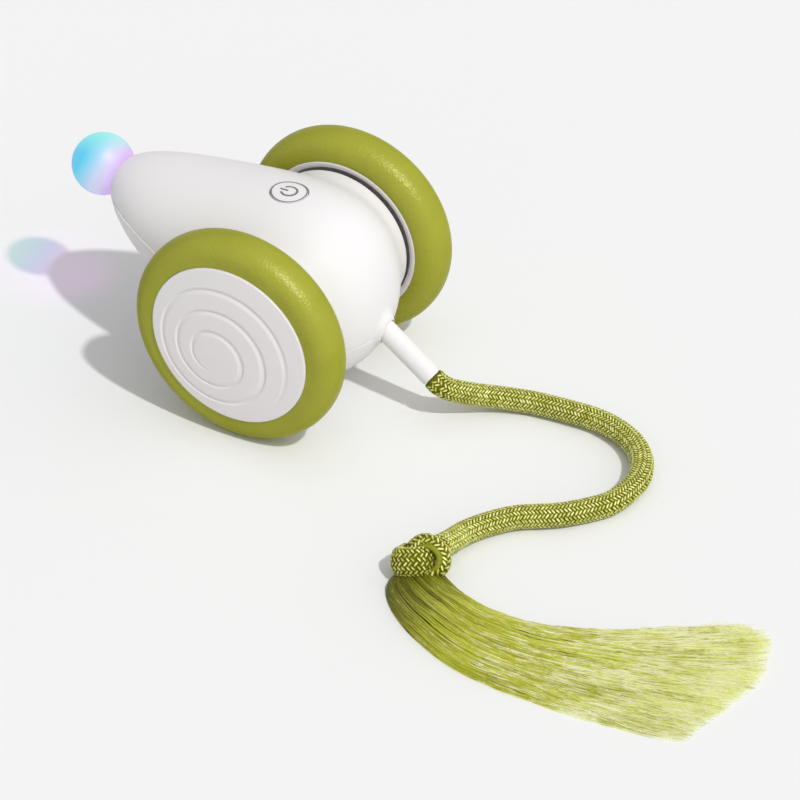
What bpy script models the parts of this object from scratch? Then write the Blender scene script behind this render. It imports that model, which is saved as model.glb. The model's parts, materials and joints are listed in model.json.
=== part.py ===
"""Robotic mouse cat toy: a teardrop body on two driven wheels, a lit nose and a corded tail.

Metres, +Z up. +X points to the nose and +Y to the left wheel. The floor is z = 0, and x = 0 is
halfway between the front of the nose globe and the back of the tail tube.
"""
import math

import bmesh
import bpy
from mathutils import Matrix, Vector

# Clearances and walls
TOUCH_GAP = 0.0003
RUN_GAP = 0.0003
SEAM_GAP = 0.0003
CUT_OVERRUN = 0.002
SHELL_WALL = 0.0018

# Drive frame and motors
MOTOR_LENGTH = 0.0132
MOTOR_WIDTH = 0.0120
MOTOR_HEIGHT = 0.0098
MOTOR_PARTING = 0.0012
MOTOR_CORNER = 0.0016
MOTOR_SHAFT_RADIUS = 0.0005
MOTOR_NOSE_RADIUS = 0.0020
MOTOR_NOSE_LENGTH = 0.0009
FRAME_PLATE_THICKNESS = 0.0014
FRAME_BACK = 0.0050
FRAME_FRONT_ROOM = 0.0005
FRAME_DROP = 0.0050
FRAME_RISE = 0.0086
FRAME_CORNER_BACK = 0.0048
FRAME_CORNER_RISE = 0.0045
FRAME_FLOOR_BACK = 0.0020
FRAME_FLOOR_FRONT = 0.0200
FRAME_FLOOR_THICKNESS = 0.0013
FRAME_SCREW_AHEAD = 0.0050
FRAME_SCREW_SIDE = 0.0090
FRAME_SCREW_RADIUS = 0.0008
FRAME_SCREW_HEAD_RADIUS = 0.0016
FRAME_SCREW_HEAD = 0.0010
FRAME_SCREW_LENGTH = 0.0060
FRAME_POST_RADIUS = 0.0022

# Gears
GEAR_MODULE = 0.0005
GEAR_PRESSURE_ANGLE = math.radians(20)
GEAR_BACKLASH = 0.00016
ADDENDUM_SHARE = 0.85
DEDENDUM_SHARE = 1.25
OUTPUT_TEETH = 32
IDLER_SMALL_TEETH = 10
IDLER_LARGE_TEETH = 30
PINION_TEETH = 9
GEAR_SIDE_GAP = 0.0004
FIRST_GEARS_WIDTH = 0.0015
SECOND_GEARS_WIDTH = 0.0021
IDLER_PIN_RADIUS = 0.0008
IDLER_DIRECTION = math.radians(30)
PINION_DIRECTION = math.radians(-20)

# Wheels
WHEEL_RADIUS = 0.030
WHEEL_GAP = 0.0009
TYRE_THICKNESS = 0.00725
TYRE_DEPTH_SHARE = 0.69
TYRE_OVERHANG = 0.0006
TYRE_OFFSET = 0.0005
TYRE_ROUNDNESS = 2.25
RIM_WIDTH = 0.0104
RIM_WALL = 0.00185
RIM_GROOVE_DEPTH = 0.0009
RIM_LIP_WIDTH = 0.0008
RIM_MOUTH_SLOPE = 0.0013
HUB_WEB_INSET = 0.0014
HUB_WEB_THICKNESS = 0.0015
HUB_BOSS_RADIUS = 0.0040
HUB_BOSS_GAP = 0.0005
HUBCAP_THICKNESS = 0.0012
HUBCAP_CLIP_INSET = 0.0021
HUBCAP_CLIP_WALL = 0.0010
HUBCAP_DOME = 0.0005

# Spiral groove of the hubcap, as shares of the rim's radius and of the spiral's pitch
SPIRAL_BASE_SHARE = 0.26
SPIRAL_PITCH_SHARE = 0.246
SPIRAL_START_SHARE = 0.193
SPIRAL_END_SHARE = 0.892
SPIRAL_FADE_SHARE = 0.053
SPIRAL_SHIFT_AHEAD_SHARE = 0.246
SPIRAL_SHIFT_DOWN_SHARE = 0.211
SPIRAL_SHIFT_END_SHARE = 1.424
SPIRAL_DEPTH = 0.0006
SPIRAL_INNER_SHARE = 0.36
SPIRAL_OUTER_SHARE = 0.20
SPIRAL_STEPS = 12

# Wheel axles
AXLE_RADIUS = 0.0015
AXLE_OVERHANG = 0.0006
BUSH_RADIUS = 0.0030
BUSH_FLANGE_RADIUS = 0.0039
BUSH_FLANGE_THICKNESS = 0.0006
HUB_SCREW_HEAD_RADIUS = 0.0024
HUB_SCREW_HEAD = 0.0011
HUB_SCREW_RADIUS = 0.0008
HUB_SCREW_LENGTH = 0.0060

# Body
BODY_NOSE_LENGTH = 0.02756
BODY_REAR_ROOM = 0.00974
BODY_REAR_DROP = 0.00186
BODY_NOSE_RISE = 0.01543
BODY_SIDE_BULGE = 0.0033
BODY_CROWN = 0.0270
BODY_BELLY = 0.0232
# Bernstein shares from the rear tip to the nose tip, of the half width, crown and belly above
HALF_WIDTH_SHARES = (3.009, 1.883, 1.516, 1.487)
CROWN_SHARES = (2.941, 1.524, 0.997, 1.317)
BELLY_SHARES = (2.976, 2.419, 1.972, 1.919)
BOSS_RADIUS = 0.0206
SEAM_TILT = math.radians(15.9)
LAND_RADIUS = 0.0070
LAND_BACK = 0.0040
LAND_STEP = 0.0008
LAND_THICKNESS = 0.0032

# Nose
GLOBE_RADIUS = 0.00842
GLOBE_STANDOFF = 0.00374
GLOBE_LIFT = 0.00281
GLOBE_WALL = 0.0010
NOSE_PITCH = math.radians(22)
NECK_RADIUS = 0.0036
NECK_END = 0.0125
LIGHT_BOARD_RADIUS = 0.0042
LIGHT_BOARD_THICKNESS = 0.0010
LIGHT_SIZE = 0.0024
LIGHT_HEIGHT = 0.0012

# Button and main board
BUTTON_AHEAD = 0.0015
BUTTON_RADIUS = 0.0049
BUTTON_DEPTH = 0.0034
BUTTON_FLANGE_THICKNESS = 0.0008
BUTTON_FLANGE_RADIUS = 0.0060
BUTTON_SWITCH_GAP = 0.0013
BOARD_THICKNESS = 0.0012
BOARD_BACK = 0.0100
BOARD_FRONT_SHARE = 0.432
BOARD_HALF_WIDTH = 0.0100
BOARD_POST_RADIUS = 0.0015
BOARD_POST_INSET = 0.0028
BOARD_SCREW_RADIUS = 0.0006
BOARD_SCREW_HEAD_RADIUS = 0.0011
BOARD_SCREW_HEAD = 0.0007
BOARD_SCREW_LENGTH = 0.0035
SWITCH_SIZE = 0.0060
SWITCH_HEIGHT = 0.0030
PLUNGER_RADIUS = 0.0016
PLUNGER_DEPTH = 0.0006
SWITCH_WELL_DEPTH = 0.0013
CHIP_AHEAD = 0.0150
CHIP_SIZE = 0.0070
CHIP_HEIGHT = 0.0012

# Battery
CELL_FRAME_GAP = 0.0040
CELL_THICKNESS = 0.0080
CELL_HALF_WIDTH = 0.0098
CELL_FLOOR_ROOM = 0.0112
CELL_BOARD_ROOM = 0.0030
CELL_CORNER = 0.0012
CRADLE_WALL = 0.0010
CRADLE_SIDE_HEIGHT = 0.0130
CRADLE_RIB_THICKNESS = 0.0014
CRADLE_RIB_SIDE = 0.0060

# Charging socket
SOCKET_AHEAD = 0.0220
SOCKET_WIDTH = 0.0089
SOCKET_DEPTH = 0.0032
SOCKET_FRAME_GAP = 0.0040
SOCKET_HEIGHT = 0.0068
SOCKET_WALL = 0.0004
SOCKET_TONGUE = 0.0007
SOCKET_MOUTH_DEPTH = 0.0055
CHARGE_BOARD_HALF_LENGTH = 0.0060
CHARGE_BOARD_HALF_WIDTH = 0.0062
CHARGE_BOARD_THICKNESS = 0.0010
CHARGE_POST_RADIUS = 0.0012
CHARGE_POST_AHEAD = 0.0042
CHARGE_POST_SIDE = 0.0045

# Case screws and their posts
CASE_POST_RADIUS = 0.0024
CASE_FRONT_POST_SHARE = 0.54
CASE_REAR_POST_ROOM = 0.0020
CASE_REAR_POST_SIDE_ROOM = 0.0032
CASE_SCREW_RADIUS = 0.0008
CASE_SCREW_HEAD_RADIUS = 0.0015
CASE_SCREW_HEAD = 0.0011
CASE_SCREW_BELOW_SEAM = 0.0040
CASE_SCREW_ABOVE_SEAM = 0.0045

# Tail
TAIL_ROOT_STEP = 0.00066
TAIL_ROOT_DROP = 0.0076
TAIL_SLOPE = math.radians(37.4)
TUBE_RADIUS = 0.0029
TUBE_LENGTH = 0.0165
TUBE_PLUG_LENGTH = 0.0066
TUBE_COLLAR_RADIUS = 0.0035
TUBE_COLLAR_LENGTH = 0.0015
TUBE_BORE_RADIUS = 0.0019
TUBE_BORE_DEPTH = 0.0120
FLARE_LENGTH = 0.0024
FLARE_RADIUS = 0.0036
FLARE_ROOT_RADIUS = 0.0056
CORD_DIAMETER = 0.0062
KNOT_PLACE = (-0.0692, 0.0597)
KNOT_WIDTH = 0.0154
KNOT_DEPTH = 0.0128
KNOT_HEIGHT = 0.0126
KNOT_TURN = math.radians(209)
KNOT_LOBE_SHARE = 0.05
TASSEL_REACH = 0.0880
TASSEL_WIDTH = 0.0450
TASSEL_HEIGHT = 0.0088
TASSEL_RIDGE = 0.0006
# Each row: ahead, aside and half width of the fan, and its height, as shares of the sizes above
TASSEL_PLACE_SHARES = (
    (-0.004, 0.010, 0.110, 0.55),
    (-0.019, 0.051, 0.165, 0.95),
    (-0.118, 0.127, 0.200, 0.85),
    (-0.225, 0.171, 0.215, 0.72),
    (-0.373, 0.180, 0.271, 0.60),
    (-0.538, 0.145, 0.342, 0.50),
    (-0.725, 0.086, 0.418, 0.40),
    (-0.918, 0.003, 0.500, 0.28),
    (-0.992, -0.031, 0.400, 0.18),
)
# The tail cord's middle line in the wheel axle's frame, from the tube to the knot
CORD_ROUTE = (
    (-0.0427, 0.0000, 0.0107),
    (-0.0445, -0.0012, 0.0091),
    (-0.0484, -0.0050, 0.0066),
    (-0.0517, -0.0082, 0.0050),
    (-0.0551, -0.0106, 0.0041),
    (-0.0599, -0.0128, 0.0034),
    (-0.0652, -0.0142, 0.0032),
    (-0.0764, -0.0151, 0.0032),
    (-0.0823, -0.0150, 0.0032),
    (-0.0879, -0.0136, 0.0032),
    (-0.0927, -0.0113, 0.0032),
    (-0.0969, -0.0078, 0.0032),
    (-0.1000, -0.0032, 0.0032),
    (-0.1018, 0.0025, 0.0032),
    (-0.1017, 0.0078, 0.0032),
    (-0.1006, 0.0130, 0.0032),
    (-0.0981, 0.0177, 0.0032),
    (-0.0907, 0.0254, 0.0032),
    (-0.0823, 0.0309, 0.0032),
    (-0.0786, 0.0347, 0.0032),
    (-0.0753, 0.0393, 0.0033),
    (-0.0731, 0.0442, 0.0036),
    (-0.0721, 0.0492, 0.0042),
    (-0.0712, 0.0528, 0.0049),
)
CORD_POINT_STEP = 0.0040

# Wires inside the body
WIRE_DIAMETER = 0.0010
WIRE_PAIR_SPACING = 0.0024
WIRE_HANDLE_SHARE = 0.45
WIRE_POINTS = 7

# Facets
BODY_STATIONS = 20
BODY_SIDES = 28
INNER_STATIONS = 10
INNER_SIDES = 14
WHEEL_SIDES = 44
TYRE_SIDES = 10
HUB_SIDES = 30
CAP_RINGS = 13
CAP_SIDES = 28
SMALL_SIDES = 10
GLOBE_SIDES = 22
GLOBE_RINGS = 12
KNOT_SIDES = 20
KNOT_RINGS = 12
TASSEL_SIDES = 20
CORD_BEVEL_RESOLUTION = 3
WIRE_BEVEL_RESOLUTION = 2
SMOOTH_ANGLE = math.radians(35)
FLAT_ANGLE = math.radians(0.02)

# Distances out from the middle plane, each from the one inside it
FRAME_PLATE_INNER = MOTOR_PARTING / 2 + MOTOR_LENGTH + TOUCH_GAP
FRAME_PLATE_OUTER = FRAME_PLATE_INNER + FRAME_PLATE_THICKNESS
FIRST_GEARS_START = FRAME_PLATE_OUTER + GEAR_SIDE_GAP
SECOND_GEARS_START = FIRST_GEARS_START + FIRST_GEARS_WIDTH + RUN_GAP
BOSS_INNER_END = SECOND_GEARS_START + SECOND_GEARS_WIDTH + GEAR_SIDE_GAP
BOSS_END = BOSS_INNER_END + SHELL_WALL
RIM_INNER_EDGE = BOSS_END + WHEEL_GAP
RIM_OUTER_EDGE = RIM_INNER_EDGE + RIM_WIDTH
WHEEL_MIDDLE = RIM_INNER_EDGE + RIM_WIDTH / 2 + TYRE_OFFSET
HUB_BOSS_START = BOSS_END + TOUCH_GAP + BUSH_FLANGE_THICKNESS + HUB_BOSS_GAP
HUB_WEB_OUTER = RIM_OUTER_EDGE - HUB_WEB_INSET
HUBCAP_EDGE = RIM_OUTER_EDGE + TOUCH_GAP + HUBCAP_THICKNESS
AXLE_INNER_END = FRAME_PLATE_INNER - AXLE_OVERHANG

# Radii of the wheel, each from the one outside it
TYRE_DEPTH = TYRE_THICKNESS * TYRE_DEPTH_SHARE
TYRE_HALF_WIDTH = RIM_WIDTH / 2 + TYRE_OVERHANG
RIM_RADIUS = WHEEL_RADIUS - TYRE_THICKNESS
RIM_BORE_RADIUS = RIM_RADIUS - RIM_WALL
HUBCAP_CLIP_RADIUS = RIM_BORE_RADIUS - HUBCAP_CLIP_INSET

# Distances ahead of and behind the axle
IDLER_DISTANCE = GEAR_MODULE * (OUTPUT_TEETH + IDLER_SMALL_TEETH) / 2
PINION_DISTANCE = GEAR_MODULE * (IDLER_LARGE_TEETH + PINION_TEETH) / 2
PINION_AHEAD = (IDLER_DISTANCE * math.cos(IDLER_DIRECTION)
                + PINION_DISTANCE * math.cos(PINION_DIRECTION))
FRAME_FRONT = PINION_AHEAD + MOTOR_WIDTH / 2 + FRAME_FRONT_ROOM
CELL_BACK = FRAME_BACK + CELL_FRAME_GAP + CELL_THICKNESS
CASE_REAR_POST_BACK = CELL_BACK + CASE_REAR_POST_ROOM
CASE_REAR_POST_SIDE = CELL_HALF_WIDTH + CASE_REAR_POST_SIDE_ROOM
BODY_REAR_REACH = CELL_BACK + BODY_REAR_ROOM
CHARGE_BOARD_FRONT = SOCKET_AHEAD + CHARGE_BOARD_HALF_LENGTH
BODY_NOSE_REACH = CHARGE_BOARD_FRONT + BODY_NOSE_LENGTH
BODY_LENGTH = BODY_REAR_REACH + BODY_NOSE_REACH
BOARD_FRONT = BODY_NOSE_REACH * BOARD_FRONT_SHARE
GLOBE_AHEAD = BODY_NOSE_REACH + GLOBE_STANDOFF
LIGHT_BOARD_BACK = (GLOBE_AHEAD - LIGHT_BOARD_RADIUS * math.sin(NOSE_PITCH)
                    - (NECK_END + 2 * TOUCH_GAP + LIGHT_BOARD_THICKNESS) * math.cos(NOSE_PITCH))
CASE_FRONT_POST_AHEAD = (CHARGE_BOARD_FRONT
                         + (LIGHT_BOARD_BACK - CHARGE_BOARD_FRONT) * CASE_FRONT_POST_SHARE)
TAIL_ROOT_BACK = BODY_REAR_REACH + TAIL_ROOT_STEP

# Heights above the axle
BODY_HALF_WIDTH = BOSS_END + BODY_SIDE_BULGE
BUTTON_FLANGE_TOP = BODY_CROWN - BUTTON_DEPTH
BUTTON_FLANGE_BOTTOM = BUTTON_FLANGE_TOP - BUTTON_FLANGE_THICKNESS
SWITCH_TOP = BUTTON_FLANGE_BOTTOM - BUTTON_SWITCH_GAP
SWITCH_BASE = SWITCH_TOP - SWITCH_HEIGHT
BOARD_TOP = SWITCH_BASE - TOUCH_GAP
BOARD_UNDERSIDE = BOARD_TOP - BOARD_THICKNESS
FRAME_UNDERSIDE = -FRAME_DROP
CELL_BOTTOM = CELL_FLOOR_ROOM - BODY_BELLY
CELL_TOP = BOARD_UNDERSIDE - CELL_BOARD_ROOM
CRADLE_SIDE_TOP = CELL_BOTTOM + CRADLE_SIDE_HEIGHT
SOCKET_TOP = FRAME_UNDERSIDE - SOCKET_FRAME_GAP
SOCKET_BOTTOM = SOCKET_TOP - SOCKET_HEIGHT
LAND_LOW = -BODY_BELLY - LAND_STEP
LAND_TOP = LAND_LOW + LAND_THICKNESS
GLOBE_RISE = BODY_NOSE_RISE + GLOBE_LIFT
BEYOND_BODY = BODY_LENGTH

# Places worked out from the sizes
TUBE_DIRECTION = Vector((-math.cos(TAIL_SLOPE), 0, -math.sin(TAIL_SLOPE)))
GLOBE_FRONT = GLOBE_AHEAD + GLOBE_RADIUS
TUBE_BACK = (TAIL_ROOT_BACK + TUBE_LENGTH * math.cos(TAIL_SLOPE)
             + TUBE_RADIUS * math.sin(TAIL_SLOPE))
AXLE_X = (TUBE_BACK - GLOBE_FRONT) / 2
AXLE = Vector((AXLE_X, 0, WHEEL_RADIUS))
SIDES = (("left", 1), ("right", -1))


def place(ahead, side, rise):
    """A point given ahead of the axle, to the left and above the axle."""
    return AXLE + Vector((ahead, side, rise))


TAIL_ROOT = place(-TAIL_ROOT_BACK, 0, -TAIL_ROOT_DROP)
GLOBE_CENTRE = place(GLOBE_AHEAD, 0, GLOBE_RISE)
NOSE_DIRECTION = Vector((math.cos(NOSE_PITCH), 0, math.sin(NOSE_PITCH)))


def in_gear_plane(start, distance, direction):
    """A point of the axle's plane, at a distance and direction from a start point."""
    return start + Vector((math.cos(direction), 0, math.sin(direction))) * distance


IDLER_CENTRE = in_gear_plane(AXLE, IDLER_DISTANCE, IDLER_DIRECTION)
PINION_CENTRE = in_gear_plane(IDLER_CENTRE, PINION_DISTANCE, PINION_DIRECTION)


# Materials
FINISHES = {
    "shell_white": ((0.86, 0.85, 0.86), 0.35, 0),
    "hub_white": ((0.85, 0.84, 0.85), 0.38, 0),
    "tyre_green": ((0.38, 0.41, 0.06), 0.45, 0),
    "cord_green": ((0.42, 0.45, 0.07), 0.60, 0),
    "tassel_green": ((0.55, 0.58, 0.16), 0.50, 0),
    "globe_frosted": ((0.62, 0.80, 0.95), 0.35, 0),
    "bright_steel": ((0.62, 0.62, 0.63), 0.30, 1),
    "brass": ((0.70, 0.52, 0.24), 0.32, 1),
    "gear_nylon": ((0.80, 0.79, 0.74), 0.45, 0),
    "frame_grey": ((0.22, 0.22, 0.23), 0.55, 0),
    "board_green": ((0.04, 0.20, 0.08), 0.45, 0),
    "chip_black": ((0.03, 0.03, 0.03), 0.40, 0),
    "cell_silver": ((0.55, 0.56, 0.58), 0.40, 0),
    "light_lens": ((0.90, 0.90, 0.75), 0.20, 0),
    "wire_red": ((0.55, 0.03, 0.03), 0.50, 0),
}


def material(name):
    """Make a material once, from its row in FINISHES."""
    found = bpy.data.materials.get(name)
    if found:
        return found
    colour, roughness, metallic = FINISHES[name]
    made = bpy.data.materials.new(name)
    made.use_nodes = True
    shader = made.node_tree.nodes["Principled BSDF"]
    shader.inputs["Base Color"].default_value = (*colour, 1)
    shader.inputs["Roughness"].default_value = roughness
    shader.inputs["Metallic"].default_value = metallic
    made.diffuse_color = (*colour, 1)
    return made


def clear_scene():
    """Start from an empty scene."""
    for item in list(bpy.data.objects):
        bpy.data.objects.remove(item)


def make_object(name, mesh_edit, finish=None, origin=None):
    """Turn a bmesh into an object whose origin is at the given point."""
    bmesh.ops.recalc_face_normals(mesh_edit, faces=mesh_edit.faces)
    mesh = bpy.data.meshes.new(name)
    mesh_edit.to_mesh(mesh)
    mesh_edit.free()
    item = bpy.data.objects.new(name, mesh)
    bpy.context.collection.objects.link(item)
    if finish:
        dress(item, finish)
    if origin is not None:
        move_origin(item, origin)
    return item


def dress(item, finish):
    """Give a mesh object one material and smooth shading between its sharp edges."""
    item.data.materials.clear()
    item.data.materials.append(material(finish))
    item.data.shade_smooth()
    item.data.set_sharp_from_angle(angle=SMOOTH_ANGLE)


def move_origin(item, origin):
    """Move an object's origin without moving its surface."""
    item.data.transform(Matrix.Translation(-Vector(origin)))
    item.location = origin


def combine(target, tool, operation):
    """Apply a Boolean with a tool object, and remove the tool."""
    step = target.modifiers.new(operation.lower(), "BOOLEAN")
    step.operation = operation
    step.object = tool
    tool.hide_render = True
    tool.display_type = "WIRE"
    graph = bpy.context.evaluated_depsgraph_get()
    mesh = bpy.data.meshes.new_from_object(target.evaluated_get(graph))
    mesh.name = target.name
    in_triangles(mesh)
    target.modifiers.clear()
    target.data = mesh
    bpy.data.objects.remove(tool)
    return target


def in_triangles(mesh):
    """Join faces that lie in one plane, then split all faces into triangles."""
    mesh_edit = bmesh.new()
    mesh_edit.from_mesh(mesh)
    bmesh.ops.dissolve_limit(mesh_edit, angle_limit=FLAT_ANGLE, verts=mesh_edit.verts,
                             edges=mesh_edit.edges)
    bmesh.ops.triangulate(mesh_edit, faces=mesh_edit.faces)
    mesh_edit.to_mesh(mesh)
    mesh_edit.free()


def add_to(target, tool):
    """Join a touching solid to a target."""
    return combine(target, tool, "UNION")


def cut_from(target, tool):
    """Cut a solid out of a target."""
    return combine(target, tool, "DIFFERENCE")


def keep_inside(target, tool):
    """Keep what lies inside a tool."""
    return combine(target, tool, "INTERSECT")


# Plain shapes
def stitch(mesh_edit, first, second, closed=True):
    """Join two rings of points, or a ring and a single point, with faces."""
    count = max(len(first), len(second))
    for index in range(count if closed else count - 1):
        after = (index + 1) % count
        if len(first) == 1:
            mesh_edit.faces.new((first[0], second[index], second[after]))
        elif len(second) == 1:
            mesh_edit.faces.new((first[index], second[0], first[after]))
        else:
            mesh_edit.faces.new((first[index], second[index], second[after], first[after]))


def loft(rings):
    """Skin a list of rings of points. An end ring of many points gets a flat cap."""
    mesh_edit = bmesh.new()
    made = [[mesh_edit.verts.new(point) for point in ring] for ring in rings]
    for first, second in zip(made, made[1:]):
        stitch(mesh_edit, first, second)
    for end in (made[0], made[-1]):
        if len(end) > 1:
            mesh_edit.faces.new(end)
    return mesh_edit


def turn(profile, count, centre, axis, start=0):
    """Turn a profile of (radius, distance along the axis) points round an axis.

    A profile that starts and ends on the axis gives a solid of revolution, and any other is
    taken as a closed outline, which gives a ring.
    """
    along = Vector(axis).normalized()
    across = along.orthogonal().normalized() if abs(along.y) < 1 else Vector((1, 0, 0))
    third = along.cross(across)
    mesh_edit = bmesh.new()
    rings = []
    for radius, distance in profile:
        middle = Vector(centre) + along * distance
        if radius == 0:
            rings.append([mesh_edit.verts.new(middle)])
            continue
        ring = []
        for index in range(count):
            angle = start + 2 * math.pi * index / count
            way = across * math.cos(angle) + third * math.sin(angle)
            ring.append(mesh_edit.verts.new(middle + way * radius))
        rings.append(ring)
    for first, second in zip(rings, rings[1:]):
        stitch(mesh_edit, first, second)
    if len(rings[0]) > 1:
        stitch(mesh_edit, rings[-1], rings[0])
    return mesh_edit


def rod(radius, start, end, count=SMALL_SIDES):
    """A cylinder between two points."""
    way = Vector(end) - Vector(start)
    profile = ((0, 0), (radius, 0), (radius, way.length), (0, way.length))
    return turn(profile, count, start, way, math.pi / count)


def block(low, high):
    """A box between two corners."""
    mesh_edit = bmesh.new()
    bmesh.ops.create_cube(mesh_edit, size=1)
    low = Vector(low)
    high = Vector(high)
    for vertex in mesh_edit.verts:
        share = vertex.co + Vector((1, 1, 1)) / 2
        vertex.co = Vector(a + (b - a) * s for a, b, s in zip(low, high, share))
    return mesh_edit


def prism(outline, near, far):
    """Extrude an outline of points, given in the axle's plane, between two widths."""
    return loft([[Vector((point.x, width, point.z)) for point in outline]
                 for width in (near, far)])


def bevelled_block(low, high, corner):
    """A box with its four edges along Y cut off, as a pressed can has."""
    low = Vector(low)
    high = Vector(high)
    outline = []
    for x, z, dx, dz in ((low.x, low.z, 1, 1), (high.x, low.z, -1, 1),
                         (high.x, high.z, -1, -1), (low.x, high.z, 1, -1)):
        pair = [Vector((x, 0, z + dz * corner)), Vector((x + dx * corner, 0, z))]
        outline.extend(pair if dx == dz else reversed(pair))
    return prism(outline, low.y, high.y)


# Body surface
def blended(shares, along):
    """A Bernstein curve through the shares."""
    order = len(shares) - 1
    return sum(math.comb(order, index) * along ** index * (1 - along) ** (order - index) * share
               for index, share in enumerate(shares))


def body_rings(stations, sides):
    """Rings of the teardrop from its rear tip to its nose tip."""
    rings = []
    for station in range(stations + 1):
        along = (1 - math.cos(math.pi * station / stations)) / 2
        swell = math.sqrt(max(along * (1 - along), 0))
        middle = (BODY_NOSE_RISE + BODY_REAR_DROP) * along - BODY_REAR_DROP
        ahead = BODY_LENGTH * along - BODY_REAR_REACH
        if station in (0, stations):
            rings.append([place(ahead, 0, middle)])
            continue
        width = BODY_HALF_WIDTH * swell * blended(HALF_WIDTH_SHARES, along)
        crown = BODY_CROWN * swell * blended(CROWN_SHARES, along)
        belly = BODY_BELLY * swell * blended(BELLY_SHARES, along)
        ring = []
        for index in range(sides):
            angle = 2 * math.pi * index / sides
            rise = math.sin(angle) * (crown if math.sin(angle) > 0 else belly)
            ring.append(place(ahead, width * math.cos(angle), middle + rise))
        rings.append(ring)
    return rings


def teardrop(name, stations, sides, inset):
    """The teardrop as a solid, drawn in along its normals by an inset."""
    mesh_edit = loft(body_rings(stations, sides))
    bmesh.ops.recalc_face_normals(mesh_edit, faces=mesh_edit.faces)
    mesh_edit.normal_update()
    moves = [vertex.normal * inset for vertex in mesh_edit.verts]
    for vertex, move in zip(mesh_edit.verts, moves):
        vertex.co -= move
    return make_object(name, mesh_edit)


def across_rod(name, centre, radius, half_length, count=HUB_SIDES):
    """A cylinder along Y, centred on the body's middle plane."""
    half = Vector((0, half_length, 0))
    return make_object(name, rod(radius, centre - half, centre + half, count))


def body_slab(name, half_width):
    """A block that trims the body to its half width."""
    reach = BEYOND_BODY
    return make_object(name, block(place(-reach, -half_width, -reach),
                                   place(reach, half_width, reach)))


def body_outside():
    """Teardrop, side bosses, tail flare and underside land as one solid."""
    solid = teardrop("body", BODY_STATIONS, BODY_SIDES, 0)
    add_to(solid, across_rod("bosses", AXLE, BOSS_RADIUS, BOSS_END + CUT_OVERRUN))
    keep_inside(solid, body_slab("slab", BOSS_END))
    flare = ((0, -TUBE_PLUG_LENGTH), (FLARE_ROOT_RADIUS, -TUBE_PLUG_LENGTH),
             (FLARE_ROOT_RADIUS, -FLARE_LENGTH), (FLARE_RADIUS, FLARE_LENGTH), (0, FLARE_LENGTH))
    add_to(solid, make_object("flare", turn(flare, HUB_SIDES // 2, TAIL_ROOT, TUBE_DIRECTION)))
    land_low = place(-LAND_BACK, 0, LAND_LOW)
    land_high = place(-LAND_BACK, 0, LAND_TOP)
    return add_to(solid, make_object("land", rod(LAND_RADIUS, land_low, land_high, HUB_SIDES // 2)))


def body_inside():
    """The hollow of the body, with the tail's clamp block left standing."""
    solid = teardrop("hollow", INNER_STATIONS, INNER_SIDES, SHELL_WALL)
    add_to(solid, across_rod("boss_hollow", AXLE, BOSS_RADIUS - SHELL_WALL, BOSS_END))
    keep_inside(solid, body_slab("hollow_slab", BOSS_INNER_END))
    clamp_reach = TUBE_PLUG_LENGTH + CUT_OVERRUN
    clamp = rod(FLARE_ROOT_RADIUS, TAIL_ROOT - TUBE_DIRECTION * TUBE_PLUG_LENGTH,
                TAIL_ROOT + TUBE_DIRECTION * clamp_reach, HUB_SIDES // 2)
    cut_from(solid, make_object("clamp", clamp))
    land_low = place(-LAND_BACK, 0, -BEYOND_BODY)
    land_high = place(-LAND_BACK, 0, LAND_TOP)
    return cut_from(solid, make_object("land_fill", rod(LAND_RADIUS, land_low, land_high)))


def seam_half(name, side):
    """A large block on one side of the seam plane, which holds the axle's line."""
    reach = 2 * BEYOND_BODY
    near = side * SEAM_GAP / 2
    low, high = sorted((near, side * reach))
    solid = make_object(name, block((-reach, -reach, low), (reach, reach, high)))
    solid.data.transform(Matrix.Translation(AXLE) @ Matrix.Rotation(-SEAM_TILT, 4, "Y"))
    return solid


def seam_rise(ahead):
    """Height of the seam plane above the axle at a distance ahead of it."""
    return math.tan(SEAM_TILT) * ahead


def case_posts():
    """The upright axes of the posts that the case screws join."""
    return ((CASE_FRONT_POST_AHEAD, 0),
            (-CASE_REAR_POST_BACK, CASE_REAR_POST_SIDE),
            (-CASE_REAR_POST_BACK, -CASE_REAR_POST_SIDE))


def board_posts():
    """The upright axes of the main board's four posts."""
    back = -BOARD_BACK + BOARD_POST_INSET
    front = BOARD_FRONT - BOARD_POST_INSET
    side = BOARD_HALF_WIDTH - BOARD_POST_INSET
    return ((front, side), (back, -side), (front, -side), (back, side))


def frame_posts():
    """The upright axes of the drive frame's two posts."""
    return tuple((FRAME_SCREW_AHEAD, side * FRAME_SCREW_SIDE) for _, side in SIDES)


def charge_posts():
    """The upright axes of the charging board's four posts."""
    return tuple((SOCKET_AHEAD + ahead * CHARGE_POST_AHEAD, side * CHARGE_POST_SIDE)
                 for ahead in (1, -1) for side in (1, -1))


def upright(radius, ahead, side, low, high):
    """An upright rod."""
    return rod(radius, place(ahead, side, low), place(ahead, side, high))


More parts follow.
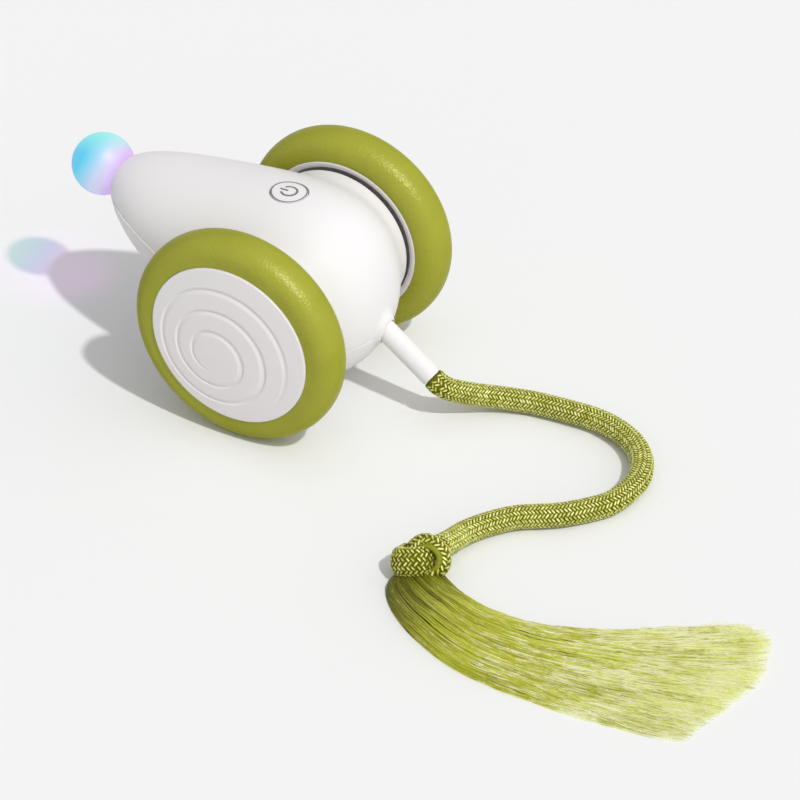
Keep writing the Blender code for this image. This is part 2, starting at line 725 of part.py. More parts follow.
def cut_tail_and_axles(shell):
    """Cut what both shells share: axle bushes, tail plug, globe seat and its neck."""
    cut_from(shell, across_rod("bush_hole", AXLE, BUSH_RADIUS + TOUCH_GAP,
                               BOSS_END + CUT_OVERRUN, SMALL_SIDES))
    plug_start = TAIL_ROOT - TUBE_DIRECTION * (TUBE_PLUG_LENGTH + CUT_OVERRUN)
    plug_end = TAIL_ROOT + TUBE_DIRECTION * (FLARE_LENGTH + CUT_OVERRUN)
    cut_from(shell, make_object("plug_hole", rod(TUBE_RADIUS + TOUCH_GAP, plug_start, plug_end)))
    seat = bmesh.new()
    bmesh.ops.create_uvsphere(seat, u_segments=GLOBE_SIDES, v_segments=GLOBE_RINGS,
                              radius=GLOBE_RADIUS + TOUCH_GAP)
    seat.transform(Matrix.Translation(GLOBE_CENTRE))
    cut_from(shell, make_object("globe_seat", seat))
    neck_start = GLOBE_CENTRE - NOSE_DIRECTION * (NECK_END + TOUCH_GAP)
    cut_from(shell, make_object("neck_hole", rod(NECK_RADIUS + TOUCH_GAP, neck_start,
                                                 GLOBE_CENTRE)))


def duplicate(item, name):
    """A copy of a mesh object under its own name."""
    made = item.copy()
    made.data = item.data.copy()
    made.name = name
    bpy.context.collection.objects.link(made)
    return made


def make_shells():
    """The top and bottom shells, from one outline and one hollow."""
    outline = body_outside()
    hollow = body_inside()
    for name, side, posts, fit in (("top_shell", 1, top_posts(), fit_top_shell),
                                   ("bottom_shell", -1, bottom_posts(), fit_bottom_shell)):
        room = duplicate(hollow, "room")
        for post in posts:
            cut_from(room, make_object("post", post))
        shell = cut_from(duplicate(outline, name), room)
        keep_inside(shell, seam_half("half", side))
        fit(shell)
        cut_tail_and_axles(shell)
        dress(shell, "shell_white")
        move_origin(shell, AXLE)
    bpy.data.objects.remove(outline)
    bpy.data.objects.remove(hollow)


def top_posts():
    """The posts that hang in the top shell, running past its wall and its seam."""
    post_end = BOARD_TOP + TOUCH_GAP
    posts = [upright(BOARD_POST_RADIUS, *post, post_end, BEYOND_BODY) for post in board_posts()]
    return posts + [upright(CASE_POST_RADIUS, *post, -BEYOND_BODY, BEYOND_BODY)
                    for post in case_posts()]


def bottom_posts():
    """The posts and ribs that stand in the bottom shell, running past its wall and its seam."""
    low = -BEYOND_BODY
    frame_under = FRAME_UNDERSIDE - TOUCH_GAP
    posts = [upright(FRAME_POST_RADIUS, *post, low, frame_under) for post in frame_posts()]
    posts += [upright(CHARGE_POST_RADIUS, *post, low, SOCKET_TOP) for post in charge_posts()]
    posts += [upright(CASE_POST_RADIUS, *post, low, BEYOND_BODY) for post in case_posts()]
    cradle_under = CELL_BOTTOM - 2 * TOUCH_GAP - CRADLE_WALL
    for _, side in SIDES:
        middle = side * CRADLE_RIB_SIDE
        rib_low = place(-CELL_BACK, middle - CRADLE_RIB_THICKNESS / 2, low)
        rib_high = place(-CELL_BACK + CELL_THICKNESS, middle + CRADLE_RIB_THICKNESS / 2,
                         cradle_under)
        posts.append(block(rib_low, rib_high))
    return posts


def fit_top_shell(shell):
    """Cut the top shell's button hole and screw holes."""
    hole_low = place(BUTTON_AHEAD, 0, BUTTON_FLANGE_TOP)
    hole_high = place(BUTTON_AHEAD, 0, BEYOND_BODY)
    cut_from(shell, make_object("button_hole", rod(BUTTON_RADIUS + RUN_GAP, hole_low, hole_high,
                                                   HUB_SIDES)))
    for ahead, side in case_posts():
        top = seam_rise(ahead) + CASE_SCREW_ABOVE_SEAM + 2 * TOUCH_GAP
        hole = upright(CASE_SCREW_RADIUS + TOUCH_GAP, ahead, side, -BEYOND_BODY, top)
        cut_from(shell, make_object("screw_hole", hole))
    for ahead, side in board_posts()[:2]:
        top = BOARD_UNDERSIDE + BOARD_SCREW_LENGTH
        hole = upright(BOARD_SCREW_RADIUS + TOUCH_GAP, ahead, side, 0, top)
        cut_from(shell, make_object("board_screw_hole", hole))


def fit_bottom_shell(shell):
    """Cut the bottom shell's screw holes and its socket window."""
    for ahead, side in case_posts():
        seat = seam_rise(ahead) - CASE_SCREW_BELOW_SEAM
        well = CASE_SCREW_HEAD_RADIUS + TOUCH_GAP
        bore = CASE_SCREW_RADIUS + TOUCH_GAP
        steps = ((0, -BEYOND_BODY), (well, -BEYOND_BODY), (well, seat), (bore, seat),
                 (bore, BEYOND_BODY), (0, BEYOND_BODY))
        hole = turn(steps, SMALL_SIDES, place(ahead, side, 0), Vector((0, 0, 1)))
        cut_from(shell, make_object("screw_hole", hole))
    for ahead, side in frame_posts():
        low = FRAME_UNDERSIDE - TOUCH_GAP - FRAME_SCREW_LENGTH
        bore = upright(FRAME_SCREW_RADIUS + TOUCH_GAP, ahead, side, low, 0)
        cut_from(shell, make_object("frame_screw_hole", bore))
    window_low = place(SOCKET_AHEAD - SOCKET_DEPTH / 2 - TOUCH_GAP,
                       -SOCKET_WIDTH / 2 - TOUCH_GAP, -BEYOND_BODY)
    window_high = place(SOCKET_AHEAD + SOCKET_DEPTH / 2 + TOUCH_GAP,
                        SOCKET_WIDTH / 2 + TOUCH_GAP, SOCKET_TOP)
    cut_from(shell, make_object("socket_window", block(window_low, window_high)))


# Nose
def make_nose():
    """The hollow globe with its neck, the light board and the lamp on it."""
    neck_start = GLOBE_CENTRE - NOSE_DIRECTION * NECK_END
    rings = []
    neck_angle = math.asin(NECK_RADIUS / GLOBE_RADIUS)
    for index in range(GLOBE_RINGS + 1):
        angle = (math.pi - neck_angle) * index / GLOBE_RINGS
        rings.append((GLOBE_RADIUS * math.sin(angle), GLOBE_RADIUS * math.cos(angle)))
    rings[0] = (0, GLOBE_RADIUS)
    inner_radius = GLOBE_RADIUS - GLOBE_WALL
    bore_radius = NECK_RADIUS - GLOBE_WALL
    bore_angle = math.asin(bore_radius / inner_radius)
    inner = []
    for index in range(GLOBE_RINGS // 2, -1, -1):
        angle = (math.pi - bore_angle) * index / (GLOBE_RINGS // 2)
        inner.append((inner_radius * math.sin(angle), inner_radius * math.cos(angle)))
    inner[-1] = (0, inner_radius)
    profile = rings + [(NECK_RADIUS, -NECK_END), (bore_radius, -NECK_END)] + inner
    make_object("nose_globe", turn(profile, GLOBE_SIDES, GLOBE_CENTRE, NOSE_DIRECTION),
                "globe_frosted", GLOBE_CENTRE)
    board_front = neck_start - NOSE_DIRECTION * TOUCH_GAP * 2
    board_back = board_front - NOSE_DIRECTION * LIGHT_BOARD_THICKNESS
    make_object("nose_light_board", rod(LIGHT_BOARD_RADIUS, board_back, board_front, GLOBE_SIDES),
                "board_green", board_back)
    lamp_start = board_front + NOSE_DIRECTION * TOUCH_GAP
    lamp_end = lamp_start + NOSE_DIRECTION * LIGHT_HEIGHT
    make_object("nose_light", rod(LIGHT_SIZE / 2, lamp_start, lamp_end), "light_lens", lamp_start)


# Button and main board
def make_button():
    """The button cap, cut from the body's own surface, and the plunger under it."""
    centre = place(BUTTON_AHEAD, 0, BUTTON_FLANGE_BOTTOM)
    steps = ((0, 0), (BUTTON_FLANGE_RADIUS, 0), (BUTTON_FLANGE_RADIUS, BUTTON_FLANGE_THICKNESS),
             (BUTTON_RADIUS, BUTTON_FLANGE_THICKNESS), (BUTTON_RADIUS, BODY_CROWN),
             (0, BODY_CROWN))
    cap = make_object("power_button", turn(steps, HUB_SIDES, centre, Vector((0, 0, 1)),
                                           math.pi / HUB_SIDES))
    keep_inside(cap, teardrop("button_top", BODY_STATIONS, BODY_SIDES, 0))
    dress(cap, "shell_white")
    move_origin(cap, centre)
    plunger = upright(PLUNGER_RADIUS, BUTTON_AHEAD, 0, SWITCH_TOP - PLUNGER_DEPTH,
                      BUTTON_FLANGE_BOTTOM - TOUCH_GAP)
    make_object("switch_plunger", plunger, "chip_black", place(BUTTON_AHEAD, 0, SWITCH_TOP))


def make_main_board():
    """The main board, its switch body, controller chip and screws."""
    low = place(-BOARD_BACK, -BOARD_HALF_WIDTH, BOARD_UNDERSIDE)
    high = place(BOARD_FRONT, BOARD_HALF_WIDTH, BOARD_TOP)
    board = make_object("main_board", block(low, high))
    for ahead, side in board_posts()[:2]:
        hole = upright(BOARD_SCREW_RADIUS + TOUCH_GAP, ahead, side, 0, BEYOND_BODY)
        cut_from(board, make_object("board_hole", hole))
    dress(board, "board_green")
    half = SWITCH_SIZE / 2
    switch = make_object("tact_switch_body",
                         block(place(BUTTON_AHEAD - half, -half, SWITCH_BASE),
                               place(BUTTON_AHEAD + half, half, SWITCH_TOP)))
    well = upright(PLUNGER_RADIUS + RUN_GAP, BUTTON_AHEAD, 0, SWITCH_TOP - SWITCH_WELL_DEPTH,
                   BEYOND_BODY)
    cut_from(switch, make_object("well", well))
    dress(switch, "frame_grey")
    half = CHIP_SIZE / 2
    chip = block(place(CHIP_AHEAD - half, -half, SWITCH_BASE),
                 place(CHIP_AHEAD + half, half, SWITCH_BASE + CHIP_HEIGHT))
    make_object("controller_chip", chip, "chip_black")
    for number, (ahead, side) in enumerate(board_posts()[:2], 1):
        screw_up(f"board_screw_{number}", ahead, side, BOARD_UNDERSIDE - TOUCH_GAP,
                 (BOARD_SCREW_HEAD_RADIUS, BOARD_SCREW_HEAD),
                 (BOARD_SCREW_RADIUS, BOARD_SCREW_LENGTH))


def screw_profile(head, shank):
    """A pan head below zero and a pointed shank above it, as a turned profile."""
    head_radius, head_height = head
    radius, length = shank
    return ((0, -head_height), (head_radius * math.cos(SEAM_TILT), -head_height),
            (head_radius, -head_height / 2), (head_radius, 0), (radius, 0),
            (radius, length - radius), (radius / 2, length), (0, length))


def screw_up(name, ahead, side, seat, head, shank):
    """A screw that enters from below, its head's seat at a height."""
    make_object(name, turn(screw_profile(head, shank), SMALL_SIDES,
                           place(ahead, side, seat), Vector((0, 0, 1))), "bright_steel")


def screw_down(name, ahead, side, seat, head, shank):
    """A screw that enters from above, its head's seat at a height."""
    make_object(name, turn(screw_profile(head, shank), SMALL_SIDES,
                           place(ahead, side, seat), Vector((0, 0, -1))), "bright_steel")


def make_case_screws():
    """The screws that hold the shells together, entered from below."""
    for number, (ahead, side) in enumerate(case_posts(), 1):
        seat = seam_rise(ahead) - CASE_SCREW_BELOW_SEAM - TOUCH_GAP
        length = CASE_SCREW_BELOW_SEAM + CASE_SCREW_ABOVE_SEAM
        screw_up(f"case_screw_{number}", ahead, side, seat,
                 (CASE_SCREW_HEAD_RADIUS, CASE_SCREW_HEAD), (CASE_SCREW_RADIUS, length))


# Drive
def make_drive_frame():
    """Two plates joined by a floor, which carry the motors, gear pins and axle ends."""
    low = FRAME_UNDERSIDE
    high = FRAME_RISE
    outline = [place(-FRAME_BACK, 0, low), place(FRAME_FRONT - FRAME_CORNER_BACK, 0, low),
               place(FRAME_FRONT, 0, low + FRAME_CORNER_RISE), place(FRAME_FRONT, 0, high),
               place(-FRAME_BACK, 0, high)]
    outer = FRAME_PLATE_OUTER
    floor_top = low + FRAME_FLOOR_THICKNESS
    frame = make_object("drive_frame", block(place(-FRAME_FLOOR_BACK, -outer + TOUCH_GAP, low),
                                             place(FRAME_FLOOR_FRONT - TOUCH_GAP,
                                                   outer - TOUCH_GAP, floor_top)))
    for _, side in SIDES:
        near, far = sorted((side * FRAME_PLATE_INNER, side * outer))
        add_to(frame, make_object("plate", prism(outline, near, far)))
    holes = ((AXLE, AXLE_RADIUS + RUN_GAP), (IDLER_CENTRE, IDLER_PIN_RADIUS + TOUCH_GAP),
             (PINION_CENTRE, MOTOR_NOSE_RADIUS + TOUCH_GAP))
    for centre, radius in holes:
        cut_from(frame, across_rod("hole", centre, radius, outer + CUT_OVERRUN, SMALL_SIDES))
    for ahead, side in frame_posts():
        hole = upright(FRAME_SCREW_RADIUS + TOUCH_GAP, ahead, side, -BEYOND_BODY, 0)
        cut_from(frame, make_object("frame_screw_hole", hole))
    dress(frame, "frame_grey")
    for number, (ahead, side) in enumerate(frame_posts(), 1):
        screw_down(f"frame_screw_{number}", ahead, side, floor_top + TOUCH_GAP,
                   (FRAME_SCREW_HEAD_RADIUS, FRAME_SCREW_HEAD),
                   (FRAME_SCREW_RADIUS, FRAME_SCREW_LENGTH))


def gear_outline(centre, teeth, turned):
    """The outline of a spur gear with straight chords along its involute flanks."""
    pitch_radius = GEAR_MODULE * teeth / 2
    base_radius = pitch_radius * math.cos(GEAR_PRESSURE_ANGLE)
    tip_radius = pitch_radius + GEAR_MODULE * ADDENDUM_SHARE
    root_radius = pitch_radius - GEAR_MODULE * DEDENDUM_SHARE
    thickness = math.pi * GEAR_MODULE / 2 - GEAR_BACKLASH

    def half_angle(radius):
        press = math.acos(min(base_radius / max(radius, base_radius), 1))
        rolled = math.tan(press) - press
        whole = math.tan(GEAR_PRESSURE_ANGLE) - GEAR_PRESSURE_ANGLE
        return thickness / (2 * pitch_radius) + whole - rolled

    outline = []
    for tooth in range(teeth):
        middle = turned + 2 * math.pi * tooth / teeth
        for radius, side in ((root_radius, -1), (tip_radius, -1), (tip_radius, 1),
                             (root_radius, 1)):
            angle = middle + side * half_angle(radius)
            outline.append(in_gear_plane(centre, radius, angle))
    return outline


def meshed_turn(teeth, partner_teeth, partner_turned, direction):
    """The turn of a gear whose gap meets its partner's tooth along a direction.

    The direction points from the partner to the gear.
    """
    pitch = 2 * math.pi / partner_teeth
    phase = (direction - partner_turned) / pitch
    back = direction + math.pi
    return back + (2 * math.pi / teeth) * (phase + 1 / 2)


def gear_turns():
    """The rest turns of the output gear, the idler's two gears and the pinion."""
    output_turned = 0
    small_turned = meshed_turn(IDLER_SMALL_TEETH, OUTPUT_TEETH, output_turned, IDLER_DIRECTION)
    large_turned = small_turned
    pinion_turned = meshed_turn(PINION_TEETH, IDLER_LARGE_TEETH, large_turned, PINION_DIRECTION)
    return output_turned, small_turned, large_turned, pinion_turned


def gear(name, centre, teeth, turned, near, width, side, bore):
    """A spur gear with a bore, on one side of the body."""
    low, high = sorted((side * near, side * (near + width)))
    solid = make_object(name, prism(gear_outline(centre, teeth, turned), low, high))
    hole = across_rod("bore", centre, bore, near + width + CUT_OVERRUN, SMALL_SIDES)
    return cut_from(solid, hole)


def make_gears(label, side):
    """The output gear, the compound idler on its pin, and the pinion on the motor shaft."""
    output_turned, small_turned, large_turned, pinion_turned = gear_turns()
    output = gear(f"{label}_output_gear", AXLE, OUTPUT_TEETH, output_turned,
                  SECOND_GEARS_START, SECOND_GEARS_WIDTH, side, AXLE_RADIUS + TOUCH_GAP)
    dress(output, "gear_nylon")
    move_origin(output, AXLE)
    small_start = FIRST_GEARS_START + FIRST_GEARS_WIDTH
    small_width = SECOND_GEARS_START + SECOND_GEARS_WIDTH - small_start
    bore = IDLER_PIN_RADIUS + RUN_GAP
    idler = gear(f"{label}_idler_gear", IDLER_CENTRE, IDLER_LARGE_TEETH, large_turned,
                 FIRST_GEARS_START, FIRST_GEARS_WIDTH, side, bore)
    small = gear("small", IDLER_CENTRE, IDLER_SMALL_TEETH, small_turned,
                 small_start - FIRST_GEARS_WIDTH / 2, small_width + FIRST_GEARS_WIDTH / 2,
                 side, bore)
    add_to(idler, small)
    dress(idler, "gear_nylon")
    move_origin(idler, IDLER_CENTRE)
    pinion = gear(f"{label}_motor_pinion", PINION_CENTRE, PINION_TEETH, pinion_turned,
                  FIRST_GEARS_START, FIRST_GEARS_WIDTH, side, MOTOR_SHAFT_RADIUS + TOUCH_GAP)
    dress(pinion, "brass")
    move_origin(pinion, PINION_CENTRE)
    pin_start = IDLER_CENTRE + Vector((0, side * FRAME_PLATE_INNER, 0))
    pin_end = IDLER_CENTRE + Vector((0, side * (BOSS_INNER_END - TOUCH_GAP), 0))
    make_object(f"{label}_idler_pin", rod(IDLER_PIN_RADIUS, pin_start, pin_end), "bright_steel",
                IDLER_CENTRE)


def make_motor(label, side):
    """A flat-sided can motor and the shaft that turns in it."""
    outer = FRAME_PLATE_INNER - TOUCH_GAP
    near, far = sorted((side * (outer - MOTOR_LENGTH), side * outer))
    half = Vector((MOTOR_WIDTH / 2, 0, MOTOR_HEIGHT / 2))
    low = PINION_CENTRE - half + Vector((0, near, 0))
    high = PINION_CENTRE + half + Vector((0, far, 0))
    motor = make_object(f"{label}_motor", bevelled_block(low, high, MOTOR_CORNER))
    nose_end = outer + MOTOR_NOSE_LENGTH
    nose_start = outer - MOTOR_NOSE_LENGTH
    nose = rod(MOTOR_NOSE_RADIUS, PINION_CENTRE + Vector((0, side * nose_start, 0)),
               PINION_CENTRE + Vector((0, side * nose_end, 0)))
    add_to(motor, make_object("nose", nose))
    bore_end = outer - MOTOR_LENGTH / 2
    bore = rod(MOTOR_SHAFT_RADIUS + RUN_GAP, PINION_CENTRE + Vector((0, side * bore_end, 0)),
               PINION_CENTRE + Vector((0, side * (nose_end + CUT_OVERRUN), 0)))
    cut_from(motor, make_object("bore", bore))
    dress(motor, "bright_steel")
    move_origin(motor, PINION_CENTRE)
    shaft_end = FIRST_GEARS_START + FIRST_GEARS_WIDTH
    shaft = rod(MOTOR_SHAFT_RADIUS,
                PINION_CENTRE + Vector((0, side * (bore_end + RUN_GAP), 0)),
                PINION_CENTRE + Vector((0, side * shaft_end, 0)))
    make_object(f"{label}_motor_shaft", shaft, "bright_steel", PINION_CENTRE)


# Wheels
def tyre_profile():
    """The tyre's section: a rounded outside, and a rib inside the rim's groove."""
    middle_radius = WHEEL_RADIUS - TYRE_DEPTH
    bore = RIM_RADIUS + TOUCH_GAP
    rib = RIM_RADIUS - RIM_GROOVE_DEPTH + TOUCH_GAP
    low = math.asin(((middle_radius - bore) / TYRE_DEPTH) ** (TYRE_ROUNDNESS / 2))
    points = []
    for index in range(TYRE_SIDES + 1):
        angle = -low + (math.pi + 2 * low) * index / TYRE_SIDES
        across = abs(math.cos(angle)) ** (2 / TYRE_ROUNDNESS) * math.copysign(1, math.cos(angle))
        up = abs(math.sin(angle)) ** (2 / TYRE_ROUNDNESS) * math.copysign(1, math.sin(angle))
        points.append((middle_radius + TYRE_DEPTH * up, WHEEL_MIDDLE + TYRE_HALF_WIDTH * across))
    inner = RIM_INNER_EDGE + RIM_LIP_WIDTH + TOUCH_GAP
    outer = RIM_OUTER_EDGE - RIM_LIP_WIDTH - TOUCH_GAP
    return points + [(bore, inner), (rib, inner), (rib, outer), (bore, outer)]


def hub_profile():
    """The wheel hub's section: rim, web and the boss that takes the axle."""
    groove = RIM_RADIUS - RIM_GROOVE_DEPTH
    web_inner = HUB_WEB_OUTER - HUB_WEB_THICKNESS
    bore = AXLE_RADIUS + TOUCH_GAP
    screw_bore = HUB_SCREW_RADIUS + TOUCH_GAP
    axle_end = web_inner + TOUCH_GAP
    return ((RIM_RADIUS, RIM_INNER_EDGE),
            (RIM_RADIUS, RIM_INNER_EDGE + RIM_LIP_WIDTH),
            (groove, RIM_INNER_EDGE + RIM_LIP_WIDTH),
            (groove, RIM_OUTER_EDGE - RIM_LIP_WIDTH),
            (RIM_RADIUS, RIM_OUTER_EDGE - RIM_LIP_WIDTH),
            (RIM_RADIUS, RIM_OUTER_EDGE),
            (RIM_BORE_RADIUS, RIM_OUTER_EDGE),
            (RIM_BORE_RADIUS, HUB_WEB_OUTER),
            (screw_bore, HUB_WEB_OUTER),
            (screw_bore, axle_end),
            (bore, axle_end),
            (bore, HUB_BOSS_START),
            (HUB_BOSS_RADIUS, HUB_BOSS_START),
            (HUB_BOSS_RADIUS, web_inner),
            (RIM_BORE_RADIUS, web_inner),
            (RIM_BORE_RADIUS, RIM_INNER_EDGE + RIM_MOUTH_SLOPE))


def spiral_depth(ahead, up):
    """Depth of the spiral groove at a place on the hubcap, given from the wheel's axis.

    The turns are circles that grow round a centre, which drifts from the snail's own middle
    towards the axis.
    """
    radius = math.hypot(ahead, up)
    for _ in range(SPIRAL_STEPS):
        shift = RIM_RADIUS - radius / SPIRAL_SHIFT_END_SHARE
        across = ahead - SPIRAL_SHIFT_AHEAD_SHARE * shift
        above = up + SPIRAL_SHIFT_DOWN_SHARE * shift
        radius = math.hypot(across, above)
    reach = radius / RIM_RADIUS
    turns = (reach - SPIRAL_BASE_SHARE) / SPIRAL_PITCH_SHARE
    turns -= math.atan2(above, across) / (2 * math.pi)
    share = turns - round(turns)
    slope = SPIRAL_OUTER_SHARE if share > 0 else SPIRAL_INNER_SHARE
    ease = min(reach - SPIRAL_START_SHARE, SPIRAL_END_SHARE - reach, SPIRAL_FADE_SHARE)
    ease = max(ease, 0) / SPIRAL_FADE_SHARE
    return SPIRAL_DEPTH * ease * max(1 - abs(share) / slope, 0)


def make_hubcap(label, side):
    """A thin cap with a spiral in terraces, held by a clip ring that stands on the web."""
    back = HUBCAP_EDGE - HUBCAP_THICKNESS
    clip_end = HUB_WEB_OUTER + TOUCH_GAP
    rings = []
    for ring in range(CAP_RINGS + 1):
        radius = RIM_RADIUS * ring / CAP_RINGS
        points = []
        for index in range(CAP_SIDES):
            angle = 2 * math.pi * index / CAP_SIDES
            ahead = radius * math.cos(angle)
            up = radius * math.sin(angle)
            dome = HUBCAP_DOME * (1 - (radius / RIM_RADIUS) ** 2)
            out = HUBCAP_EDGE + dome - spiral_depth(ahead, up)
            points.append(AXLE + Vector((ahead, side * out, up)))
        rings.append(points if ring else points[:1])
    inner_clip = HUBCAP_CLIP_RADIUS - HUBCAP_CLIP_WALL
    for radius, out in ((RIM_RADIUS, back), (HUBCAP_CLIP_RADIUS, back),
                        (HUBCAP_CLIP_RADIUS, clip_end), (inner_clip, clip_end),
                        (inner_clip, back), (0, back)):
        count = CAP_SIDES if radius else 1
        angles = [2 * math.pi * index / CAP_SIDES for index in range(count)]
        rings.append([AXLE + Vector((radius * math.cos(angle), side * out,
                                     radius * math.sin(angle))) for angle in angles])
    make_object(f"{label}_hubcap", loft(rings), "hub_white", AXLE)


def make_wheel(label, side):
    """A wheel: axle, bush, hub, tyre, screw and hubcap."""
    along = Vector((0, side, 0))
    make_object(f"{label}_tyre", turn(tyre_profile(), WHEEL_SIDES, AXLE, along), "tyre_green",
                AXLE)
    make_object(f"{label}_wheel_hub", turn(hub_profile(), HUB_SIDES, AXLE, along), "hub_white",
                AXLE)
    make_hubcap(label, side)
    axle_end = HUB_WEB_OUTER - HUB_WEB_THICKNESS
    tapped = HUB_SCREW_RADIUS + TOUCH_GAP
    thread_end = axle_end - HUB_SCREW_LENGTH
    axle = ((0, AXLE_INNER_END), (AXLE_RADIUS, AXLE_INNER_END), (AXLE_RADIUS, axle_end),
            (tapped, axle_end), (tapped, thread_end), (0, thread_end))
    make_object(f"{label}_axle", turn(axle, SMALL_SIDES, AXLE, along), "bright_steel", AXLE)
    screw = screw_profile((HUB_SCREW_HEAD_RADIUS, HUB_SCREW_HEAD),
                          (HUB_SCREW_RADIUS, HUB_SCREW_LENGTH))
    seat = AXLE + along * (HUB_WEB_OUTER + TOUCH_GAP)
    make_object(f"{label}_hub_screw", turn(screw, SMALL_SIDES, seat, -along), "bright_steel", AXLE)
    bore = AXLE_RADIUS + RUN_GAP
    flange_start = BOSS_END + TOUCH_GAP
    flange_end = flange_start + BUSH_FLANGE_THICKNESS
    bush = ((bore, BOSS_INNER_END), (BUSH_RADIUS, BOSS_INNER_END),
            (BUSH_RADIUS, flange_start), (BUSH_FLANGE_RADIUS, flange_start),
            (BUSH_FLANGE_RADIUS, flange_end), (bore, flange_end))
    make_object(f"{label}_axle_bush", turn(bush, SMALL_SIDES, AXLE, along), "brass", AXLE)


# Battery and charging socket
def make_battery():
    """The battery cell, upright behind the axle, and the cradle under and beside it."""
    low = place(-CELL_BACK, -CELL_HALF_WIDTH, CELL_BOTTOM)
    high = place(-CELL_BACK + CELL_THICKNESS, CELL_HALF_WIDTH, CELL_TOP)
    make_object("battery_cell", bevelled_block(low, high, CELL_CORNER), "cell_silver")
    gap = Vector((TOUCH_GAP, TOUCH_GAP, TOUCH_GAP))
    wall = Vector((0, CRADLE_WALL, CRADLE_WALL))
    outer_low = low - gap - wall
    outer_high = place(-CELL_BACK + CELL_THICKNESS, CELL_HALF_WIDTH + TOUCH_GAP + CRADLE_WALL,
                       CRADLE_SIDE_TOP)
    cradle = make_object("battery_cradle", block(outer_low, outer_high))
    room_low = low - gap - Vector((CRADLE_WALL + CUT_OVERRUN, 0, 0))
    room_high = high + gap + Vector((CUT_OVERRUN, 0, 0))
    cut_from(cradle, make_object("room", block(room_low, room_high)))
    dress(cradle, "frame_grey")


def make_charging_socket():
    """The charging socket, mouth down in the bottom shell, and the board it is fixed to."""
    low = place(SOCKET_AHEAD - SOCKET_DEPTH / 2, -SOCKET_WIDTH / 2, SOCKET_BOTTOM)
    high = place(SOCKET_AHEAD + SOCKET_DEPTH / 2, SOCKET_WIDTH / 2, SOCKET_TOP)
    socket = make_object("charging_socket", block(low, high))
    wall = Vector((SOCKET_WALL, SOCKET_WALL, 0))
    mouth = block(low + wall - Vector((0, 0, CUT_OVERRUN)),
                  Vector((high.x, high.y, low.z + SOCKET_MOUTH_DEPTH)) - wall)
    cut_from(socket, make_object("mouth", mouth))
    tongue_half = Vector((SOCKET_TONGUE / 2, SOCKET_WIDTH / 2 - 2 * SOCKET_WALL - TOUCH_GAP, 0))
    middle = place(SOCKET_AHEAD, 0, 0)
    tongue = block(middle - tongue_half + Vector((0, 0, SOCKET_BOTTOM + SOCKET_WALL)),
                   middle + tongue_half + Vector((0, 0, SOCKET_TOP - SOCKET_WALL)))
    add_to(socket, make_object("tongue", tongue))
    dress(socket, "bright_steel")
    board_low = SOCKET_TOP + TOUCH_GAP
    make_object("charging_board",
                block(place(SOCKET_AHEAD - CHARGE_BOARD_HALF_LENGTH, -CHARGE_BOARD_HALF_WIDTH,
                            board_low),
                      place(SOCKET_AHEAD + CHARGE_BOARD_HALF_LENGTH, CHARGE_BOARD_HALF_WIDTH,
                            board_low + CHARGE_BOARD_THICKNESS)), "board_green")


# Tail
def smooth_line(points, step):
    """Points of a smooth curve through a route, about a step apart."""
    points = [Vector(point) for point in points]
    padded = [2 * points[0] - points[1]] + points + [2 * points[-1] - points[-2]]
    line = []
    for index in range(1, len(padded) - 2):
        before, start, end, after = padded[index - 1:index + 3]
        count = max(1, round((end - start).length / step))
        for part in range(count):
            t = part / count
            line.append((2 * start + (end - before) * t
                         + (2 * before - 5 * start + 4 * end - after) * t ** 2
                         + (3 * start - before - 3 * end + after) * t ** 3) / 2)
    return line + [points[-1]]


def make_tube(name, line, diameter, resolution, finish):
    """A round cord or wire along a line of points."""
    curve = bpy.data.curves.new(name, "CURVE")
    curve.dimensions = "3D"
    spline = curve.splines.new("POLY")
    spline.points.add(len(line) - 1)
    for slot, point in zip(spline.points, line):
        slot.co = (*point, 1)
    curve.bevel_depth = diameter / 2
    curve.bevel_resolution = resolution
    curve.use_fill_caps = True
    curve.materials.append(material(finish))
    item = bpy.data.objects.new(name, curve)
    bpy.context.collection.objects.link(item)
    return item


def make_tail_tube():
    """The sleeve that the cord is fixed in, with a collar inside the shells."""
    plug_end = -TUBE_PLUG_LENGTH - TOUCH_GAP
    collar_start = plug_end - TUBE_COLLAR_LENGTH
    profile = ((0, collar_start), (TUBE_COLLAR_RADIUS, collar_start),
               (TUBE_COLLAR_RADIUS, plug_end), (TUBE_RADIUS, plug_end),
               (TUBE_RADIUS, TUBE_LENGTH), (TUBE_BORE_RADIUS, TUBE_LENGTH),
               (TUBE_BORE_RADIUS, TUBE_LENGTH - TUBE_BORE_DEPTH),
               (0, TUBE_LENGTH - TUBE_BORE_DEPTH))
    make_object("tail_tube", turn(profile, HUB_SIDES // 2, TAIL_ROOT, TUBE_DIRECTION),
                "shell_white", TAIL_ROOT)


def knot_surface(name, grow):
    """The knot's rounded, three-lobed outer form, grown by a gap."""
    centre = Vector((AXLE_X + KNOT_PLACE[0], KNOT_PLACE[1], KNOT_HEIGHT / 2))
    half = Vector((KNOT_WIDTH, KNOT_DEPTH, KNOT_HEIGHT)) / 2 + Vector((grow, grow, grow))
    turned = Matrix.Rotation(KNOT_TURN, 3, "Z")
    rings = []
    for ring in range(KNOT_RINGS + 1):
        rise = -math.pi / 2 + math.pi * ring / KNOT_RINGS
        points = []
        for index in range(KNOT_SIDES):
            angle = 2 * math.pi * index / KNOT_SIDES
            lobe = 1 - KNOT_LOBE_SHARE * math.cos(rise) * (1 + math.cos(3 * angle + 2 * rise))
            way = Vector((half.x * math.cos(rise) * math.cos(angle) * lobe,
                          half.y * math.cos(rise) * math.sin(angle) * lobe,
                          half.z * math.sin(rise)))
            points.append(centre + turned @ way)
        rings.append(points if 0 < ring < KNOT_RINGS else points[:1])
    return make_object(name, loft(rings))


